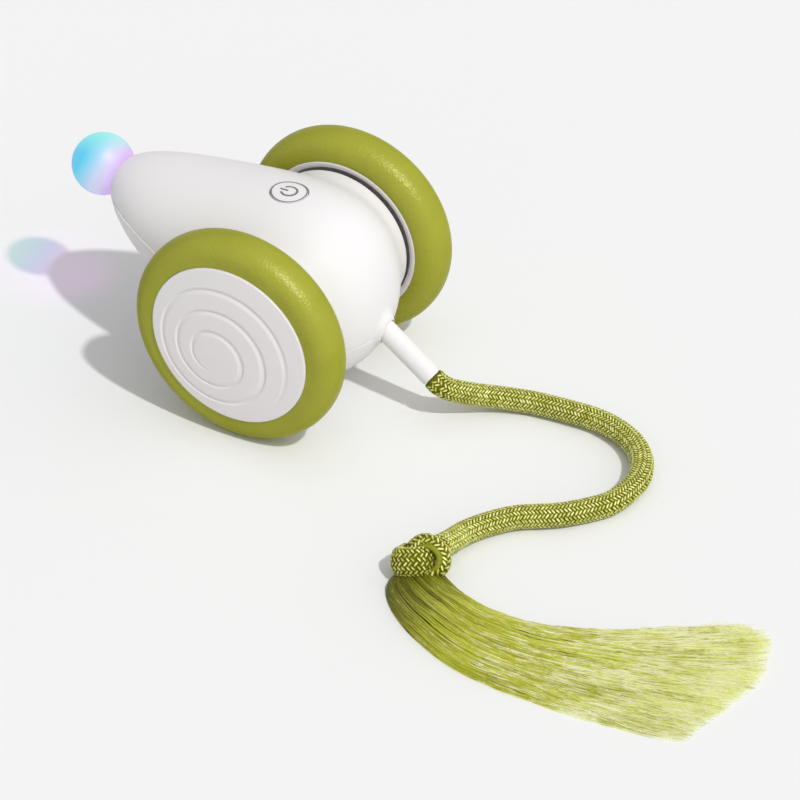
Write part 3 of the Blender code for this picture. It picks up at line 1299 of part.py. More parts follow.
def make_tail_cord_and_knot():
    """The cord along its route, and the knot with the socket that the cord enters."""
    offset = Vector((AXLE_X, 0, 0))
    line = [TAIL_ROOT + TUBE_DIRECTION * (TUBE_LENGTH + TOUCH_GAP)]
    line += [offset + point for point in smooth_line(CORD_ROUTE, CORD_POINT_STEP)]
    make_tube("tail_cord", line, CORD_DIAMETER, CORD_BEVEL_RESOLUTION, "cord_green")
    knot = knot_surface("tail_knot", 0)
    way = (line[-1] - line[-2]).normalized()
    socket = rod(CORD_DIAMETER / 2 + TOUCH_GAP, line[-1] - way * KNOT_WIDTH,
                 line[-1] + way * TOUCH_GAP)
    cut_from(knot, make_object("cord_socket", socket))
    dress(knot, "cord_green")


def make_tassel():
    """The loose strands as one ridged fan that lies on the floor behind the knot."""
    knot_centre = Vector((AXLE_X + KNOT_PLACE[0], KNOT_PLACE[1], 0))
    middles = [knot_centre + Vector((ahead, aside, 0)) * TASSEL_REACH
               for ahead, aside, _, _ in TASSEL_PLACE_SHARES]
    rings = []
    for index, (_, _, width_share, height_share) in enumerate(TASSEL_PLACE_SHARES):
        before = middles[max(index - 1, 0)]
        after = middles[min(index + 1, len(middles) - 1)]
        along = (after - before).normalized()
        across = Vector((-along.y, along.x, 0))
        half = TASSEL_WIDTH * width_share
        height = TASSEL_HEIGHT * height_share
        ridge = min(TASSEL_RIDGE, height / 6)
        ring = []
        for side in range(TASSEL_SIDES):
            angle = 2 * math.pi * side / TASSEL_SIDES
            bump = ridge * (side % 2) * math.sin(angle) if math.sin(angle) > 0 else 0
            rise = max(math.sin(angle), 0) * (height - TOUCH_GAP) - bump + TOUCH_GAP
            low = min(math.sin(angle), 0) * TOUCH_GAP
            ring.append(middles[index] + across * half * math.cos(angle)
                        + Vector((0, 0, rise + low)))
        rings.append(ring)
    tassel = make_object("tail_tassel", loft(rings))
    cut_from(tassel, knot_surface("knot_room", TOUCH_GAP))
    dress(tassel, "tassel_green")


# Wires
def make_wire(name, start, start_way, end, end_way, finish):
    """A wire that leaves one piece square to it and enters another square to it."""
    reach = (end - start).length * WIRE_HANDLE_SHARE
    first = start + Vector(start_way) * TOUCH_GAP
    last = end + Vector(end_way) * TOUCH_GAP
    handles = (first, first + Vector(start_way) * reach, last + Vector(end_way) * reach, last)
    line = []
    for index in range(WIRE_POINTS + 1):
        t = index / WIRE_POINTS
        line.append(handles[0] * (1 - t) ** 3 + 3 * handles[1] * t * (1 - t) ** 2
                    + 3 * handles[2] * t ** 2 * (1 - t) + handles[3] * t ** 3)
    make_tube(name, line, WIRE_DIAMETER, WIRE_BEVEL_RESOLUTION, finish)


def make_wires():
    """The wires from the main board to the cell, the motors, the socket's board and the light."""
    up = Vector((0, 0, 1))
    down = Vector((0, 0, -1))
    inset = WIRE_PAIR_SPACING
    for finish, side in (("wire_red", 1), ("chip_black", -1)):
        colour = finish.split("_")[1]
        cell_end = place(-CELL_BACK + CELL_THICKNESS / 2, side * inset, CELL_TOP)
        board_end = place(-BOARD_BACK + inset, side * inset, BOARD_UNDERSIDE)
        make_wire(f"battery_wire_{colour}", cell_end, up, board_end, down, finish)
    motor_top = PINION_CENTRE.z + MOTOR_HEIGHT / 2
    for label, side in SIDES:
        middle = FRAME_PLATE_INNER - MOTOR_LENGTH / 2
        start = Vector((PINION_CENTRE.x, side * middle, motor_top))
        end = place(BOARD_FRONT - 2 * inset, side * middle, BOARD_UNDERSIDE)
        make_wire(f"{label}_motor_wire", start, up, end, down, "wire_red")
    start = place(SOCKET_AHEAD + CHARGE_BOARD_HALF_LENGTH - WIRE_DIAMETER, 0,
                  SOCKET_TOP + TOUCH_GAP + CHARGE_BOARD_THICKNESS)
    end = place(BOARD_FRONT - inset / 2, 0, BOARD_UNDERSIDE)
    make_wire("charging_wire", start, up, end, down, "chip_black")
    light_back = NECK_END + 2 * TOUCH_GAP + LIGHT_BOARD_THICKNESS
    side_step = Vector((0, CASE_POST_RADIUS + WIRE_DIAMETER, 0))
    start = GLOBE_CENTRE - NOSE_DIRECTION * light_back + side_step
    end = place(BOARD_FRONT - inset / 2, 0, BOARD_UNDERSIDE) + side_step
    make_wire("light_wire", start, -NOSE_DIRECTION, end, down, "wire_red")


def main():
    """Build every piece."""
    clear_scene()
    make_shells()
    make_nose()
    make_button()
    make_main_board()
    make_case_screws()
    make_drive_frame()
    for label, side in SIDES:
        make_motor(label, side)
        make_gears(label, side)
        make_wheel(label, side)
    make_battery()
    make_charging_socket()
    make_tail_tube()
    make_tail_cord_and_knot()
    make_tassel()
    make_wires()


main()
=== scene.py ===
"""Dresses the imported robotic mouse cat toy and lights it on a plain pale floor."""
import json
import logging
import math
from dataclasses import dataclass, field
from enum import Enum
from typing import Callable, Sequence

import bmesh
import bpy
import numpy as np
from mathutils import Matrix, Vector


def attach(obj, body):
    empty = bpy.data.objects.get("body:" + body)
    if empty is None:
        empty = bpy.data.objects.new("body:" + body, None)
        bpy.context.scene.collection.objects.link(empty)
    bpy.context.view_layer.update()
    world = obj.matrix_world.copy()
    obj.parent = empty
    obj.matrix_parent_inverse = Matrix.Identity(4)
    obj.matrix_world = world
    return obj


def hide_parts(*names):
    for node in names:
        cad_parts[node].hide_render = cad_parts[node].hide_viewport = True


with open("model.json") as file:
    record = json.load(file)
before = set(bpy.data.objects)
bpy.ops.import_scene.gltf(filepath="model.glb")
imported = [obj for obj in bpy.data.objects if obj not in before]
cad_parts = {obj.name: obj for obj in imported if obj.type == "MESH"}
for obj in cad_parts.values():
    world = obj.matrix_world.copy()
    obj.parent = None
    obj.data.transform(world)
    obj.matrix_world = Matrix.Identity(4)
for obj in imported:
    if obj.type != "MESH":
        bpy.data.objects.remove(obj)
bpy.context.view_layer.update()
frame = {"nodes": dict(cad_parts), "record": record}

LOG = logging.getLogger("mouse_toy")

Colour = tuple[float, float, float]
Profile = Sequence[tuple[float, float]]

MERGE = 1e-6
SIDES = (("left", 1), ("right", -1))
UP = Vector((0.0, 0.0, 1.0))
WHITE = (1.0, 1.0, 1.0)
NOISE_RANGE = (0.3, 0.7)
TAIL_ROOT = (-0.0274, -0.0076)
TAIL_SLOPE = math.radians(37.4)


class Slot(Enum):
    """The record's material slots."""

    SHELL = "shell_white"
    HUB = "hub_white"
    TYRE = "tyre_green"
    CORD = "cord_green"
    TASSEL = "tassel_green"
    GLOBE = "globe_frosted"
    STEEL = "bright_steel"
    BRASS = "brass"
    NYLON = "gear_nylon"
    FRAME = "frame_grey"
    BOARD = "board_green"
    BLACK = "chip_black"
    CELL = "cell_silver"
    LENS = "light_lens"
    WIRE = "wire_red"


def joint_place(name: str) -> Vector:
    """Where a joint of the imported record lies.

    Args:
        name: The joint's name.

    Returns:
        Its place in the row frame, in metres.
    """
    joints = frame["record"]["behaviour"]["joints"]
    return Vector(next(joint["pos_m"] for joint in joints if joint["name"] == name))


AXLE = joint_place("left_wheel_spin")


def from_axle(ahead: float, side: float, rise: float) -> Vector:
    """A point given ahead of the axle, to the left and above it."""
    return AXLE + Vector((ahead, side, rise))


def on_floor(ahead: float, side: float, height: float) -> Vector:
    """A point given ahead of the axle, to the left and above the floor."""
    return Vector((AXLE.x + ahead, side, height))


# Node trees
class Shader:
    """A material's or a group's node tree, with short ways to add and link nodes."""

    def __init__(self, tree: bpy.types.NodeTree) -> None:
        """Keep the tree."""
        self.tree = tree

    def add(self, kind: str, settings: dict | None = None, **values: object) -> bpy.types.Node:
        """Add a node.

        Args:
            kind: The node's type.
            settings: Attributes of the node itself.
            **values: Input values or sockets to link, by input name with _ for a space.

        Returns:
            The new node.
        """
        node = self.tree.nodes.new(kind)
        for name, value in (settings or {}).items():
            setattr(node, name, value)
        for name, value in values.items():
            self.feed(node, name.replace("_", " "), value)
        return node

    def feed(self, node: bpy.types.Node, name: str | int, value: object) -> None:
        """Link a socket into a node's input, or set that input's value."""
        socket = node.inputs[name]
        if isinstance(value, bpy.types.NodeSocket):
            self.tree.links.new(value, socket)
        else:
            socket.default_value = value

    def fill(self, node: bpy.types.Node, values: dict[str, object]) -> None:
        """Link or set several of a node's inputs, given by their names."""
        for name, value in values.items():
            self.feed(node, name, value)

    def maths(self, operation: str, *values: object) -> bpy.types.NodeSocket:
        """The result of a Math node on sockets or numbers."""
        node = self.add("ShaderNodeMath", {"operation": operation})
        for index, value in enumerate(values):
            self.feed(node, index, value)
        return node.outputs[0]

    def vector_maths(self, operation: str, *values: object) -> bpy.types.NodeSocket:
        """The vector, or the dot product, of a Vector Math node."""
        node = self.add("ShaderNodeVectorMath", {"operation": operation})
        for index, value in enumerate(values):
            self.feed(node, index, value)
        return node.outputs["Value" if operation == "DOT_PRODUCT" else "Vector"]

    def mix(self, factor: object, first: object, second: object) -> bpy.types.NodeSocket:
        """A colour mix of two colours or sockets."""
        node = self.add("ShaderNodeMix", {"data_type": "RGBA"})
        for index, value in ((0, factor), (6, first), (7, second)):
            if isinstance(value, tuple) and len(value) == 3:
                value = (*value, 1.0)
            self.feed(node, index, value)
        return node.outputs[2]

    def spread(self, value: object, low: float, high: float, first: float,
               last: float) -> bpy.types.NodeSocket:
        """A value carried from one range into another, kept inside it."""
        node = self.add("ShaderNodeMapRange", Value=value)
        for index, limit in enumerate((low, high, first, last), 1):
            node.inputs[index].default_value = limit
        return node.outputs[0]

    def ramp(self, value: object, stops: Sequence[tuple[float, Colour]]) -> bpy.types.NodeSocket:
        """A colour read from a ramp of places and colours."""
        node = self.add("ShaderNodeValToRGB", Fac=value)
        elements = node.color_ramp.elements
        while len(elements) < len(stops):
            elements.new(0.5)
        for element, (place, colour) in zip(elements, stops):
            element.position = place
            element.color = (*colour, 1.0)
        return node.outputs[0]

    def varied(self, value: object, low: float, high: float) -> bpy.types.NodeSocket:
        """A noise's value, or a mixed share of one, spread between two limits."""
        return self.spread(value, *NOISE_RANGE, low, high)

    def bump(self, height: object, strength: float, distance: float) -> bpy.types.NodeSocket:
        """The normal that a height gives."""
        return self.add("ShaderNodeBump", Height=height, Strength=strength,
                        Distance=distance).outputs[0]

    def end(self, kind: str, result: bpy.types.NodeSocket) -> None:
        """Link the result into a new output node."""
        self.tree.links.new(result, self.add(kind).inputs[0])

    def attribute(self, name: str) -> bpy.types.Node:
        """An Attribute node that reads the piece's own named attribute."""
        return self.add("ShaderNodeAttribute", {"attribute_name": name})


def shared_group(name: str, inputs: dict[str, float], outputs: Sequence[str],
                 build: Callable[[Shader, dict], dict]) -> bpy.types.NodeTree:
    """A shader node group, built once.

    Args:
        name: The group's name.
        inputs: Its number inputs and their defaults, next to a Vector input.
        outputs: Its number outputs.
        build: Makes the nodes from the input sockets and returns the output sockets.

    Returns:
        The group.
    """
    if name in bpy.data.node_groups:
        return bpy.data.node_groups[name]
    group = bpy.data.node_groups.new(name, "ShaderNodeTree")
    group.interface.new_socket(name="Vector", in_out="INPUT", socket_type="NodeSocketVector")
    for label, value in inputs.items():
        socket = group.interface.new_socket(name=label, in_out="INPUT",
                                            socket_type="NodeSocketFloat")
        socket.default_value = value
    for label in outputs:
        group.interface.new_socket(name=label, in_out="OUTPUT", socket_type="NodeSocketFloat")
    shader = Shader(group)
    entry = shader.add("NodeGroupInput")
    leave = shader.add("NodeGroupOutput")
    made = build(shader, {socket.name: socket for socket in entry.outputs})
    for label, socket in made.items():
        shader.feed(leave, label, socket)
    return group


def moulded_grain() -> bpy.types.NodeTree:
    """The group for moulded surfaces: fine grain, broad tone, and thin dust."""

    def build(shader: Shader, given: dict) -> dict:
        """The group's nodes."""
        fine = shader.add("ShaderNodeTexNoise", Vector=given["Vector"], Scale=given["Grain"],
                          Detail=3.0)
        broad = shader.add("ShaderNodeTexNoise", Vector=given["Vector"], Scale=given["Patch"],
                           Detail=2.0)
        specks = shader.add("ShaderNodeTexVoronoi", Vector=given["Vector"], Scale=given["Speck"])
        dust = shader.spread(specks.outputs["Distance"], 0.04, 0.09, 1.0, 0.0)
        return {"Height": fine.outputs[0], "Tone": broad.outputs[0], "Dust": dust}

    return shared_group("moulded_grain", {"Grain": 2500.0, "Patch": 60.0, "Speck": 260.0},
                        ("Height", "Tone", "Dust"), build)


def drawn_streaks() -> bpy.types.NodeTree:
    """The group for streaks along one way: brushed metal, turned plastic and fibres."""

    def build(shader: Shader, given: dict) -> dict:
        """The group's nodes."""
        stretch = shader.add("ShaderNodeCombineXYZ", X=given["Along"], Y=given["Across"],
                             Z=given["Across"])
        scaled = shader.vector_maths("MULTIPLY", given["Vector"], stretch.outputs[0])
        streaks = shader.add("ShaderNodeTexNoise", Vector=scaled, Scale=1.0, Detail=2.0)
        return {"Height": streaks.outputs[0]}

    return shared_group("drawn_streaks", {"Along": 100.0, "Across": 3000.0}, ("Height",), build)


def streak_height(shader: Shader, vector: bpy.types.NodeSocket, along: float,
                  across: float) -> bpy.types.NodeSocket:
    """The height of streaks so many to the metre, along and across their way."""
    return shader.add("ShaderNodeGroup", {"node_tree": drawn_streaks()}, Vector=vector,
                      Along=along, Across=across).outputs["Height"]


def empty_tree(owner: bpy.types.Material | bpy.types.World) -> Shader:
    """The node tree of a material or a world, emptied."""
    owner.use_nodes = True
    owner.node_tree.nodes.clear()
    return Shader(owner.node_tree)


def new_material(name: str) -> tuple[bpy.types.Material, Shader, bpy.types.Node, bpy.types.Node]:
    """A material with only a Principled shader in it.

    Args:
        name: The material's name.

    Returns:
        The material, its tree, its Principled node and its Texture Coordinate node.
    """
    made = bpy.data.materials.new(name)
    shader = empty_tree(made)
    surface = shader.add("ShaderNodeBsdfPrincipled")
    shader.end("ShaderNodeOutputMaterial", surface.outputs[0])
    return made, shader, surface, shader.add("ShaderNodeTexCoord")


# Finishes
@dataclass(frozen=True)
class Moulded:
    """Moulded plastic or rubber: grain, tone patches and a little dust."""

    name: str
    colour: Colour
    shade: Colour
    roughness: float = 0.4
    roughness_spread: float = 0.06
    grain: float = 2500.0
    grain_height: float = 0.00001
    patch: float = 60.0
    specular: float = 0.5
    edge_specular: float = 1.0
    coat: float = 0.0
    tint: Colour = WHITE

    def make(self) -> bpy.types.Material:
        """The finish as a material."""
        made, shader, surface, place = new_material(self.name)
        grain = shader.add("ShaderNodeGroup", {"node_tree": moulded_grain()},
                           Vector=place.outputs["Object"], Grain=self.grain, Patch=self.patch)
        tone = grain.outputs["Tone"]
        rough = shader.varied(tone, self.roughness, self.roughness + self.roughness_spread)
        dusty = shader.maths("MULTIPLY", grain.outputs["Dust"], 0.15)
        shader.fill(surface, {
            "Base Color": shader.mix(shader.varied(tone, 0.0, 1.0), self.colour, self.shade),
            "Roughness": shader.maths("ADD", rough, dusty),
            "Normal": shader.bump(grain.outputs["Height"], 1.0, self.grain_height),
            "Specular IOR Level": self.specular,
            "Specular Tint": (*self.tint, 1.0),
            "Coat Weight": self.coat})
        if self.edge_specular < 1.0:
            facing = shader.add("ShaderNodeLayerWeight", Blend=0.5)
            shader.feed(surface, "Specular IOR Level",
                        shader.spread(facing.outputs["Facing"], 0.12, 0.50, self.specular,
                                      self.specular * self.edge_specular))
        return made


@dataclass(frozen=True)
class Metal:
    """Bare metal with streaks along one way."""

    name: str
    colour: Colour
    shade: Colour
    roughness: float = 0.25
    along: float = 200.0
    across: float = 4000.0

    def make(self) -> bpy.types.Material:
        """The finish as a material."""
        made, shader, surface, place = new_material(self.name)
        height = streak_height(shader, place.outputs["Object"], self.along, self.across)
        toned = shader.spread(height, 0.35, 0.65, 0.0, 1.0)
        shader.fill(surface, {
            "Base Color": shader.mix(toned, self.colour, self.shade),
            "Roughness": shader.varied(height, self.roughness, self.roughness + 0.15),
            "Normal": shader.bump(height, 0.5, 0.00001),
            "Metallic": 1.0})
        return made


@dataclass(frozen=True)
class Braid:
    """Glossy braided yarn: fibres along each stitch, whose shade differs from its neighbours'.
    Each stitch is painted lighter at its middle, a painted glint, and darker towards its ends,
    painted shade where it dives under its neighbours.
    """

    name: str
    # colour towards the stitch ends, partly painted shade where they dive under their neighbours
    dark: Colour
    middle: Colour
    # colour of the painted glint on each stitch's middle
    light: Colour
    roughness: float = 0.30

    def make(self) -> bpy.types.Material:
        """The finish as a material."""
        made, shader, surface, _ = new_material(self.name)
        thread = shader.attribute("thread")
        shade = shader.attribute("shade")
        shifted = shader.vector_maths("MULTIPLY_ADD", shade.outputs["Vector"],
                                      (37.0, 51.0, 23.0), thread.outputs["Vector"])
        height = streak_height(shader, shifted, 0.9, 9.0)
        parts = shader.add("ShaderNodeSeparateXYZ", Vector=thread.outputs["Vector"])
        away = shader.maths("ABSOLUTE", parts.outputs["Z"])
        beside = shader.maths("ABSOLUTE", parts.outputs["Y"])
        # painted glint: the middle of each stitch, away from its ends and sides, is painted
        # towards the light colour, and its ends stay darker as painted shade
        painted_glint = shader.maths("MULTIPLY", shader.spread(away, 0.20, 0.46, 1.0, 0.0),
                             shader.spread(beside, 0.12, 0.36, 1.0, 0.0))
        tone = shader.maths("MULTIPLY_ADD", height, 0.4,
                            shader.maths("MULTIPLY", shade.outputs["Fac"], 0.35))
        tone = shader.maths("MULTIPLY_ADD", painted_glint, 0.55, tone)
        tone = shader.spread(tone, 0.25, 1.0, 0.0, 1.0)
        shader.fill(surface, {
            "Base Color": shader.ramp(tone, ((0.0, self.dark), (0.55, self.middle),
                                             (1.0, self.light))),
            "Roughness": shader.varied(height, self.roughness, self.roughness + 0.14),
            "Normal": shader.bump(height, 0.6, 0.00006),
            "Specular IOR Level": 1.0,
            "Specular Tint": (1.0, 1.0, 0.8, 1.0)})
        return made


@dataclass(frozen=True)
class Fibre:
    """Loose glossy strands that pale from the root to the tip, with streaks of painted sheen
    along them.
    """

    name: str
    root: Colour
    middle: Colour
    tip: Colour
    roughness: float = 0.3
    through: float = 0.35
    let_past: tuple = (0.45, 0.93)
    # colour of the painted sheen streaks
    painted_sheen: Colour = (1.0, 1.0, 0.80)
    dull: Colour = (0.52, 0.50, 0.03)
    streaks: tuple = ((12.0, 90.0), (75.0, 90.0), (5.0, 75.0))

    def make(self) -> bpy.types.Material:
        """The finish as a material."""
        made, shader, surface, _ = new_material(self.name)
        along = shader.attribute("along")
        shade = shader.attribute("shade")
        where = shader.maths("ADD", along.outputs["Fac"],
                             shader.spread(shade.outputs["Fac"], 0.0, 1.0, -0.16, 0.16))
        colour = shader.ramp(where, ((0.03, self.root), (0.24, self.middle),
                                     (0.62, self.middle), (1.0, self.tip)))
        own = shader.maths("MULTIPLY", shade.outputs["Fac"], 0.008)
        spot = shader.add("ShaderNodeCombineXYZ", X=along.outputs["Fac"],
                          Y=shader.attribute("beside").outputs["Fac"], Z=own)
        long, short, broad = [streak_height(shader, spot.outputs[0], length, width)
                              for length, width in self.streaks]
        # painted sheen: streaks along the strands, more of them towards the tips, are painted
        # towards the middle colour near the root and a near-white sheen colour further out
        grown = shader.spread(along.outputs["Fac"], 0.10, 0.75, 0.05, 0.19)
        lit = shader.maths("MULTIPLY_ADD", short, 0.25, shader.maths("MULTIPLY", long, 0.75))
        lit = shader.maths("ADD", lit, grown)
        painted_sheen = shader.spread(lit, 0.62, 0.74, 0.0, 0.95)
        dull = shader.spread(broad, 0.38, 0.50, 0.75, 0.0)
        colour = shader.mix(dull, colour, self.dull)
        start = shader.spread(along.outputs["Fac"], 0.04, 0.26, 0.75, 0.0)
        colour = shader.mix(start, colour, self.root)
        pale = shader.spread(along.outputs["Fac"], 0.10, 0.45, 0.0, 1.0)
        colour = shader.mix(painted_sheen, colour, shader.mix(pale, self.middle, self.painted_sheen))
        shader.fill(surface, {
            "Base Color": colour,
            "Roughness": shader.spread(shade.outputs["Fac"], 0.0, 1.0, self.roughness,
                                       self.roughness + 0.15),
            "Specular IOR Level": 0.7,
            "Specular Tint": (1.0, 1.0, 0.75, 1.0)})
        glow = shader.add("ShaderNodeBsdfTranslucent", Color=colour)
        blend = shader.add("ShaderNodeMixShader")
        shader.feed(blend, 0, self.through)
        shader.feed(blend, 1, surface.outputs[0])
        shader.feed(blend, 2, glow.outputs[0])
        past = shader.spread(along.outputs["Fac"], 0.0, 0.35, self.let_past[0],
                             self.let_past[1])
        clear_to_light(shader, blend.outputs[0], (0.97, 0.98, 0.80, 1.0), past)
        return made


def clear_to_light(shader: Shader, surface: bpy.types.NodeSocket, colour: object,
                   share: object) -> None:
    """End a material's tree so that a share of the light passes through it, in a colour."""
    output = next(node for node in shader.tree.nodes if node.type == "OUTPUT_MATERIAL")
    clear = shader.add("ShaderNodeBsdfTransparent", Color=colour)
    path = shader.add("ShaderNodeLightPath")
    through = shader.add("ShaderNodeMixShader")
    shader.feed(through, 0, shader.maths("MULTIPLY", path.outputs["Is Shadow Ray"], share))
    shader.feed(through, 1, surface)
    shader.feed(through, 2, clear.outputs[0])
    shader.tree.links.new(through.outputs[0], output.inputs[0])


@dataclass(frozen=True)
class LitGlobe:
    """Frosted plastic, lit from inside by lamps of several colours, with a painted rim glow at
    its silhouette.
    """

    name: str
    centre: Vector
    across: Vector
    above: Vector
    stops: tuple[tuple[float, Colour], ...]
    shadow_stops: tuple[tuple[float, Colour], ...]
    crown: Colour = (0.30, 0.88, 0.76)
    # colour of the painted rim glow at the silhouette
    rim: Colour = (0.25, 0.24, 0.95)
    glow: float = 0.66
    base: float = 0.30
    let_through: float = 0.80

    def make(self) -> bpy.types.Material:
        """The finish as a material."""
        made, shader, surface, place = new_material(self.name)
        shift = shader.vector_maths("SUBTRACT", place.outputs["Object"], tuple(self.centre))
        reaches = [shader.vector_maths("DOT_PRODUCT", shift, tuple(way))
                   for way in (self.across, self.above)]
        clouds = shader.add("ShaderNodeTexNoise", Vector=place.outputs["Object"], Scale=110.0,
                            Detail=1.0)
        where = shader.maths("ADD", reaches[0], shader.varied(clouds.outputs[0], -0.08, 0.08))
        where = shader.spread(where, -1.0, 1.0, 0.0, 1.0)
        colour = shader.ramp(where, self.stops)
        high = shader.spread(reaches[1], 0.30, 0.95, 0.0, 0.85)
        colour = shader.mix(high, colour, self.crown)
        # painted rim glow: towards the silhouette, by the facing angle, the colour is painted
        # towards the rim colour, less so on the crown
        facing = shader.add("ShaderNodeLayerWeight", Blend=0.5)
        edge = shader.spread(facing.outputs["Facing"], 0.70, 1.0, 0.0, 0.65)
        edge = shader.maths("MULTIPLY", edge, shader.maths("SUBTRACT", 1.0, high))
        colour = shader.mix(edge, colour, self.rim)
        dim = shader.mix(1.0 - self.base, colour, (0.0, 0.0, 0.0))
        shader.fill(surface, {
            "Base Color": dim,
            "Emission Color": colour,
            "Emission Strength": self.glow,
            "Roughness": shader.varied(clouds.outputs[0], 0.50, 0.56),
            "Specular IOR Level": 1.0})
        clear_to_light(shader, surface.outputs[0], shader.ramp(where, self.shadow_stops),
                       self.let_through)
        return made


# Meshes
def placed(name: str, data: bpy.types.ID) -> bpy.types.Object:
    """A new object of the scene that holds the data."""
    item = bpy.data.objects.new(name, data)
    bpy.context.collection.objects.link(item)
    return item


def smooth_line(points: Sequence[Sequence[float]], step: float) -> list[Vector]:
    """Points of a smooth curve through a route.

    Args:
        points: The route's own points.
        step: About how far apart the curve's points lie.

    Returns:
        The curve's points, from the route's first to its last.
    """
    knots = [Vector(point) for point in points]
    padded = [2 * knots[0] - knots[1]] + knots + [2 * knots[-1] - knots[-2]]
    line = []
    for index in range(1, len(padded) - 2):
        before, start, end, after = padded[index - 1:index + 3]
        count = max(1, round((end - start).length / step))
        for part in range(count):
            t = part / count
            line.append((2 * start + (end - before) * t
                         + (2 * before - 5 * start + 4 * end - after) * t ** 2
                         + (3 * start - before - 3 * end + after) * t ** 3) / 2)
    return line + [knots[-1]]


def even_line(points: Sequence[Vector], step: float) -> np.ndarray:
    """The same line with evenly spaced points, as an array of rows."""
    rows = np.array([tuple(point) for point in points])
    reach = np.concatenate(([0.0], np.cumsum(np.linalg.norm(np.diff(rows, axis=0), axis=1))))
    count = max(2, round(reach[-1] / step) + 1)
    places = np.linspace(0.0, reach[-1], count)
    return np.stack([np.interp(places, reach, rows[:, axis]) for axis in range(3)], axis=1)


def carried_frames(line: np.ndarray) -> tuple[np.ndarray, np.ndarray, np.ndarray]:
    """Frames along a line that don't twist.

    Args:
        line: The line's points, one a row.

    Returns:
        The tangents, the first normals and the second normals, one a row.
    """
    tangents = np.gradient(line, axis=0)
    tangents /= np.linalg.norm(tangents, axis=1)[:, None]
    start = np.cross(tangents[0], (0.0, 0.0, 1.0))
    if np.linalg.norm(start) < 0.1:
        start = np.cross(tangents[0], (1.0, 0.0, 0.0))
    normals = [start / np.linalg.norm(start)]
    for index in range(1, len(line)):
        carried = normals[-1] - tangents[index] * np.dot(normals[-1], tangents[index])
        normals.append(carried / np.linalg.norm(carried))
    firsts = np.array(normals)
    return tangents, firsts, np.cross(tangents, firsts)


def led_frames(line: np.ndarray, lean: Sequence[float] | None
               ) -> tuple[np.ndarray, np.ndarray, np.ndarray]:
    """Frames along a line whose second normal keeps to a given way, or don't twist."""
    tangents, firsts, seconds = carried_frames(line)
    if lean is not None:
        way = np.array(lean)
        seconds = way - tangents * (tangents @ way)[:, None]
        seconds /= np.linalg.norm(seconds, axis=1)[:, None]
        firsts = np.cross(seconds, tangents)
    return tangents, firsts, seconds


def grid_faces(rows: int, columns: int, wrap_rows: bool, wrap_columns: bool) -> list[tuple]:
    """Four-sided faces over a grid of points, row by row."""
    last_row = rows if wrap_rows else rows - 1
    last_column = columns if wrap_columns else columns - 1
    faces = []
    for row in range(last_row):
        below = (row + 1) % rows
        for column in range(last_column):
            beside = (column + 1) % columns
            faces.append((row * columns + column, row * columns + beside,
                          below * columns + beside, below * columns + column))
    return faces


def mesh_object(name: str, points: np.ndarray | Sequence, faces: Sequence[tuple],
                finish: bpy.types.Material | None = None,
                sharp: float = math.radians(40.0)) -> bpy.types.Object:
    """A closed mesh object with its doubles merged and its faces pointing out.

    Args:
        name: The object's name.
        points: Its points in the row frame.
        faces: Its faces.
        finish: Its material.
        sharp: The angle past which an edge is shaded sharp.

    Returns:
        The object, linked to the scene.
    """
    mesh = bpy.data.meshes.new(name)
    mesh.from_pydata([tuple(point) for point in points], [], faces)
    work = bmesh.new()
    work.from_mesh(mesh)
    bmesh.ops.remove_doubles(work, verts=work.verts, dist=MERGE)
    bmesh.ops.recalc_face_normals(work, faces=work.faces)
    work.to_mesh(mesh)
    work.free()
    mesh.shade_smooth()
    mesh.set_sharp_from_angle(angle=sharp)
    if finish:
        mesh.materials.append(finish)
    return placed(name, mesh)


def rounded(profile: Profile, radius: float, steps: int = 4, closed: bool = True) -> list:
    """A profile with its corners rounded.

    Args:
        profile: The corner points.
        radius: The rounding's size, kept under a third of each side.
        steps: Points in each rounding.
        closed: Whether the last point joins the first.

    Returns:
        The profile's points.
    """
    points = [Vector(point) for point in profile]
    count = len(points)
    made = []
    for index, point in enumerate(points):
        if not closed and index in (0, count - 1):
            made.append(tuple(point))
            continue
        before = points[index - 1] - point
        after = points[(index + 1) % count] - point
        reach = min(radius, before.length / 3, after.length / 3)
        if abs(point.x) < MERGE or before.angle(after) > math.radians(170):
            made.append(tuple(point))
            continue
        first = point + before.normalized() * reach
        last = point + after.normalized() * reach
        for step in range(steps + 1):
            t = step / steps
            made.append(tuple(first * (1 - t) ** 2 + point * 2 * t * (1 - t) + last * t ** 2))
    return made


def turned(name: str, profile: Profile, sides: int, centre: Vector, along: Vector,
           finish: bpy.types.Material | None = None, closed: bool = True) -> bpy.types.Object:
    """A piece turned about an axis.

    Args:
        name: The object's name.
        profile: Radius and reach along the axis of each point.
        sides: How many faces go round.
        centre: The point on the axis where the reach is nought.
        along: The axis.
        finish: The material.
        closed: Whether the profile's last point joins its first.

    Returns:
        The object.
    """
    first = along.orthogonal().normalized()
    second = along.cross(first).normalized()
    points = []
    for radius, reach in profile:
        for index in range(sides):
            angle = 2 * math.pi * index / sides
            way = first * math.cos(angle) + second * math.sin(angle)
            points.append(centre + along * reach + way * radius)
    faces = grid_faces(len(profile), sides, closed, True)
    return mesh_object(name, points, faces, finish)


def rod(name: str, radius: float, low: float, high: float, sides: int, centre: Vector,
        along: Vector = UP) -> bpy.types.Object:
    """A plain round rod about an axis, between two reaches along it."""
    corners = ((0.0, low), (radius, low), (radius, high), (0.0, high))
    return turned(name, corners, sides, centre, along, closed=False)


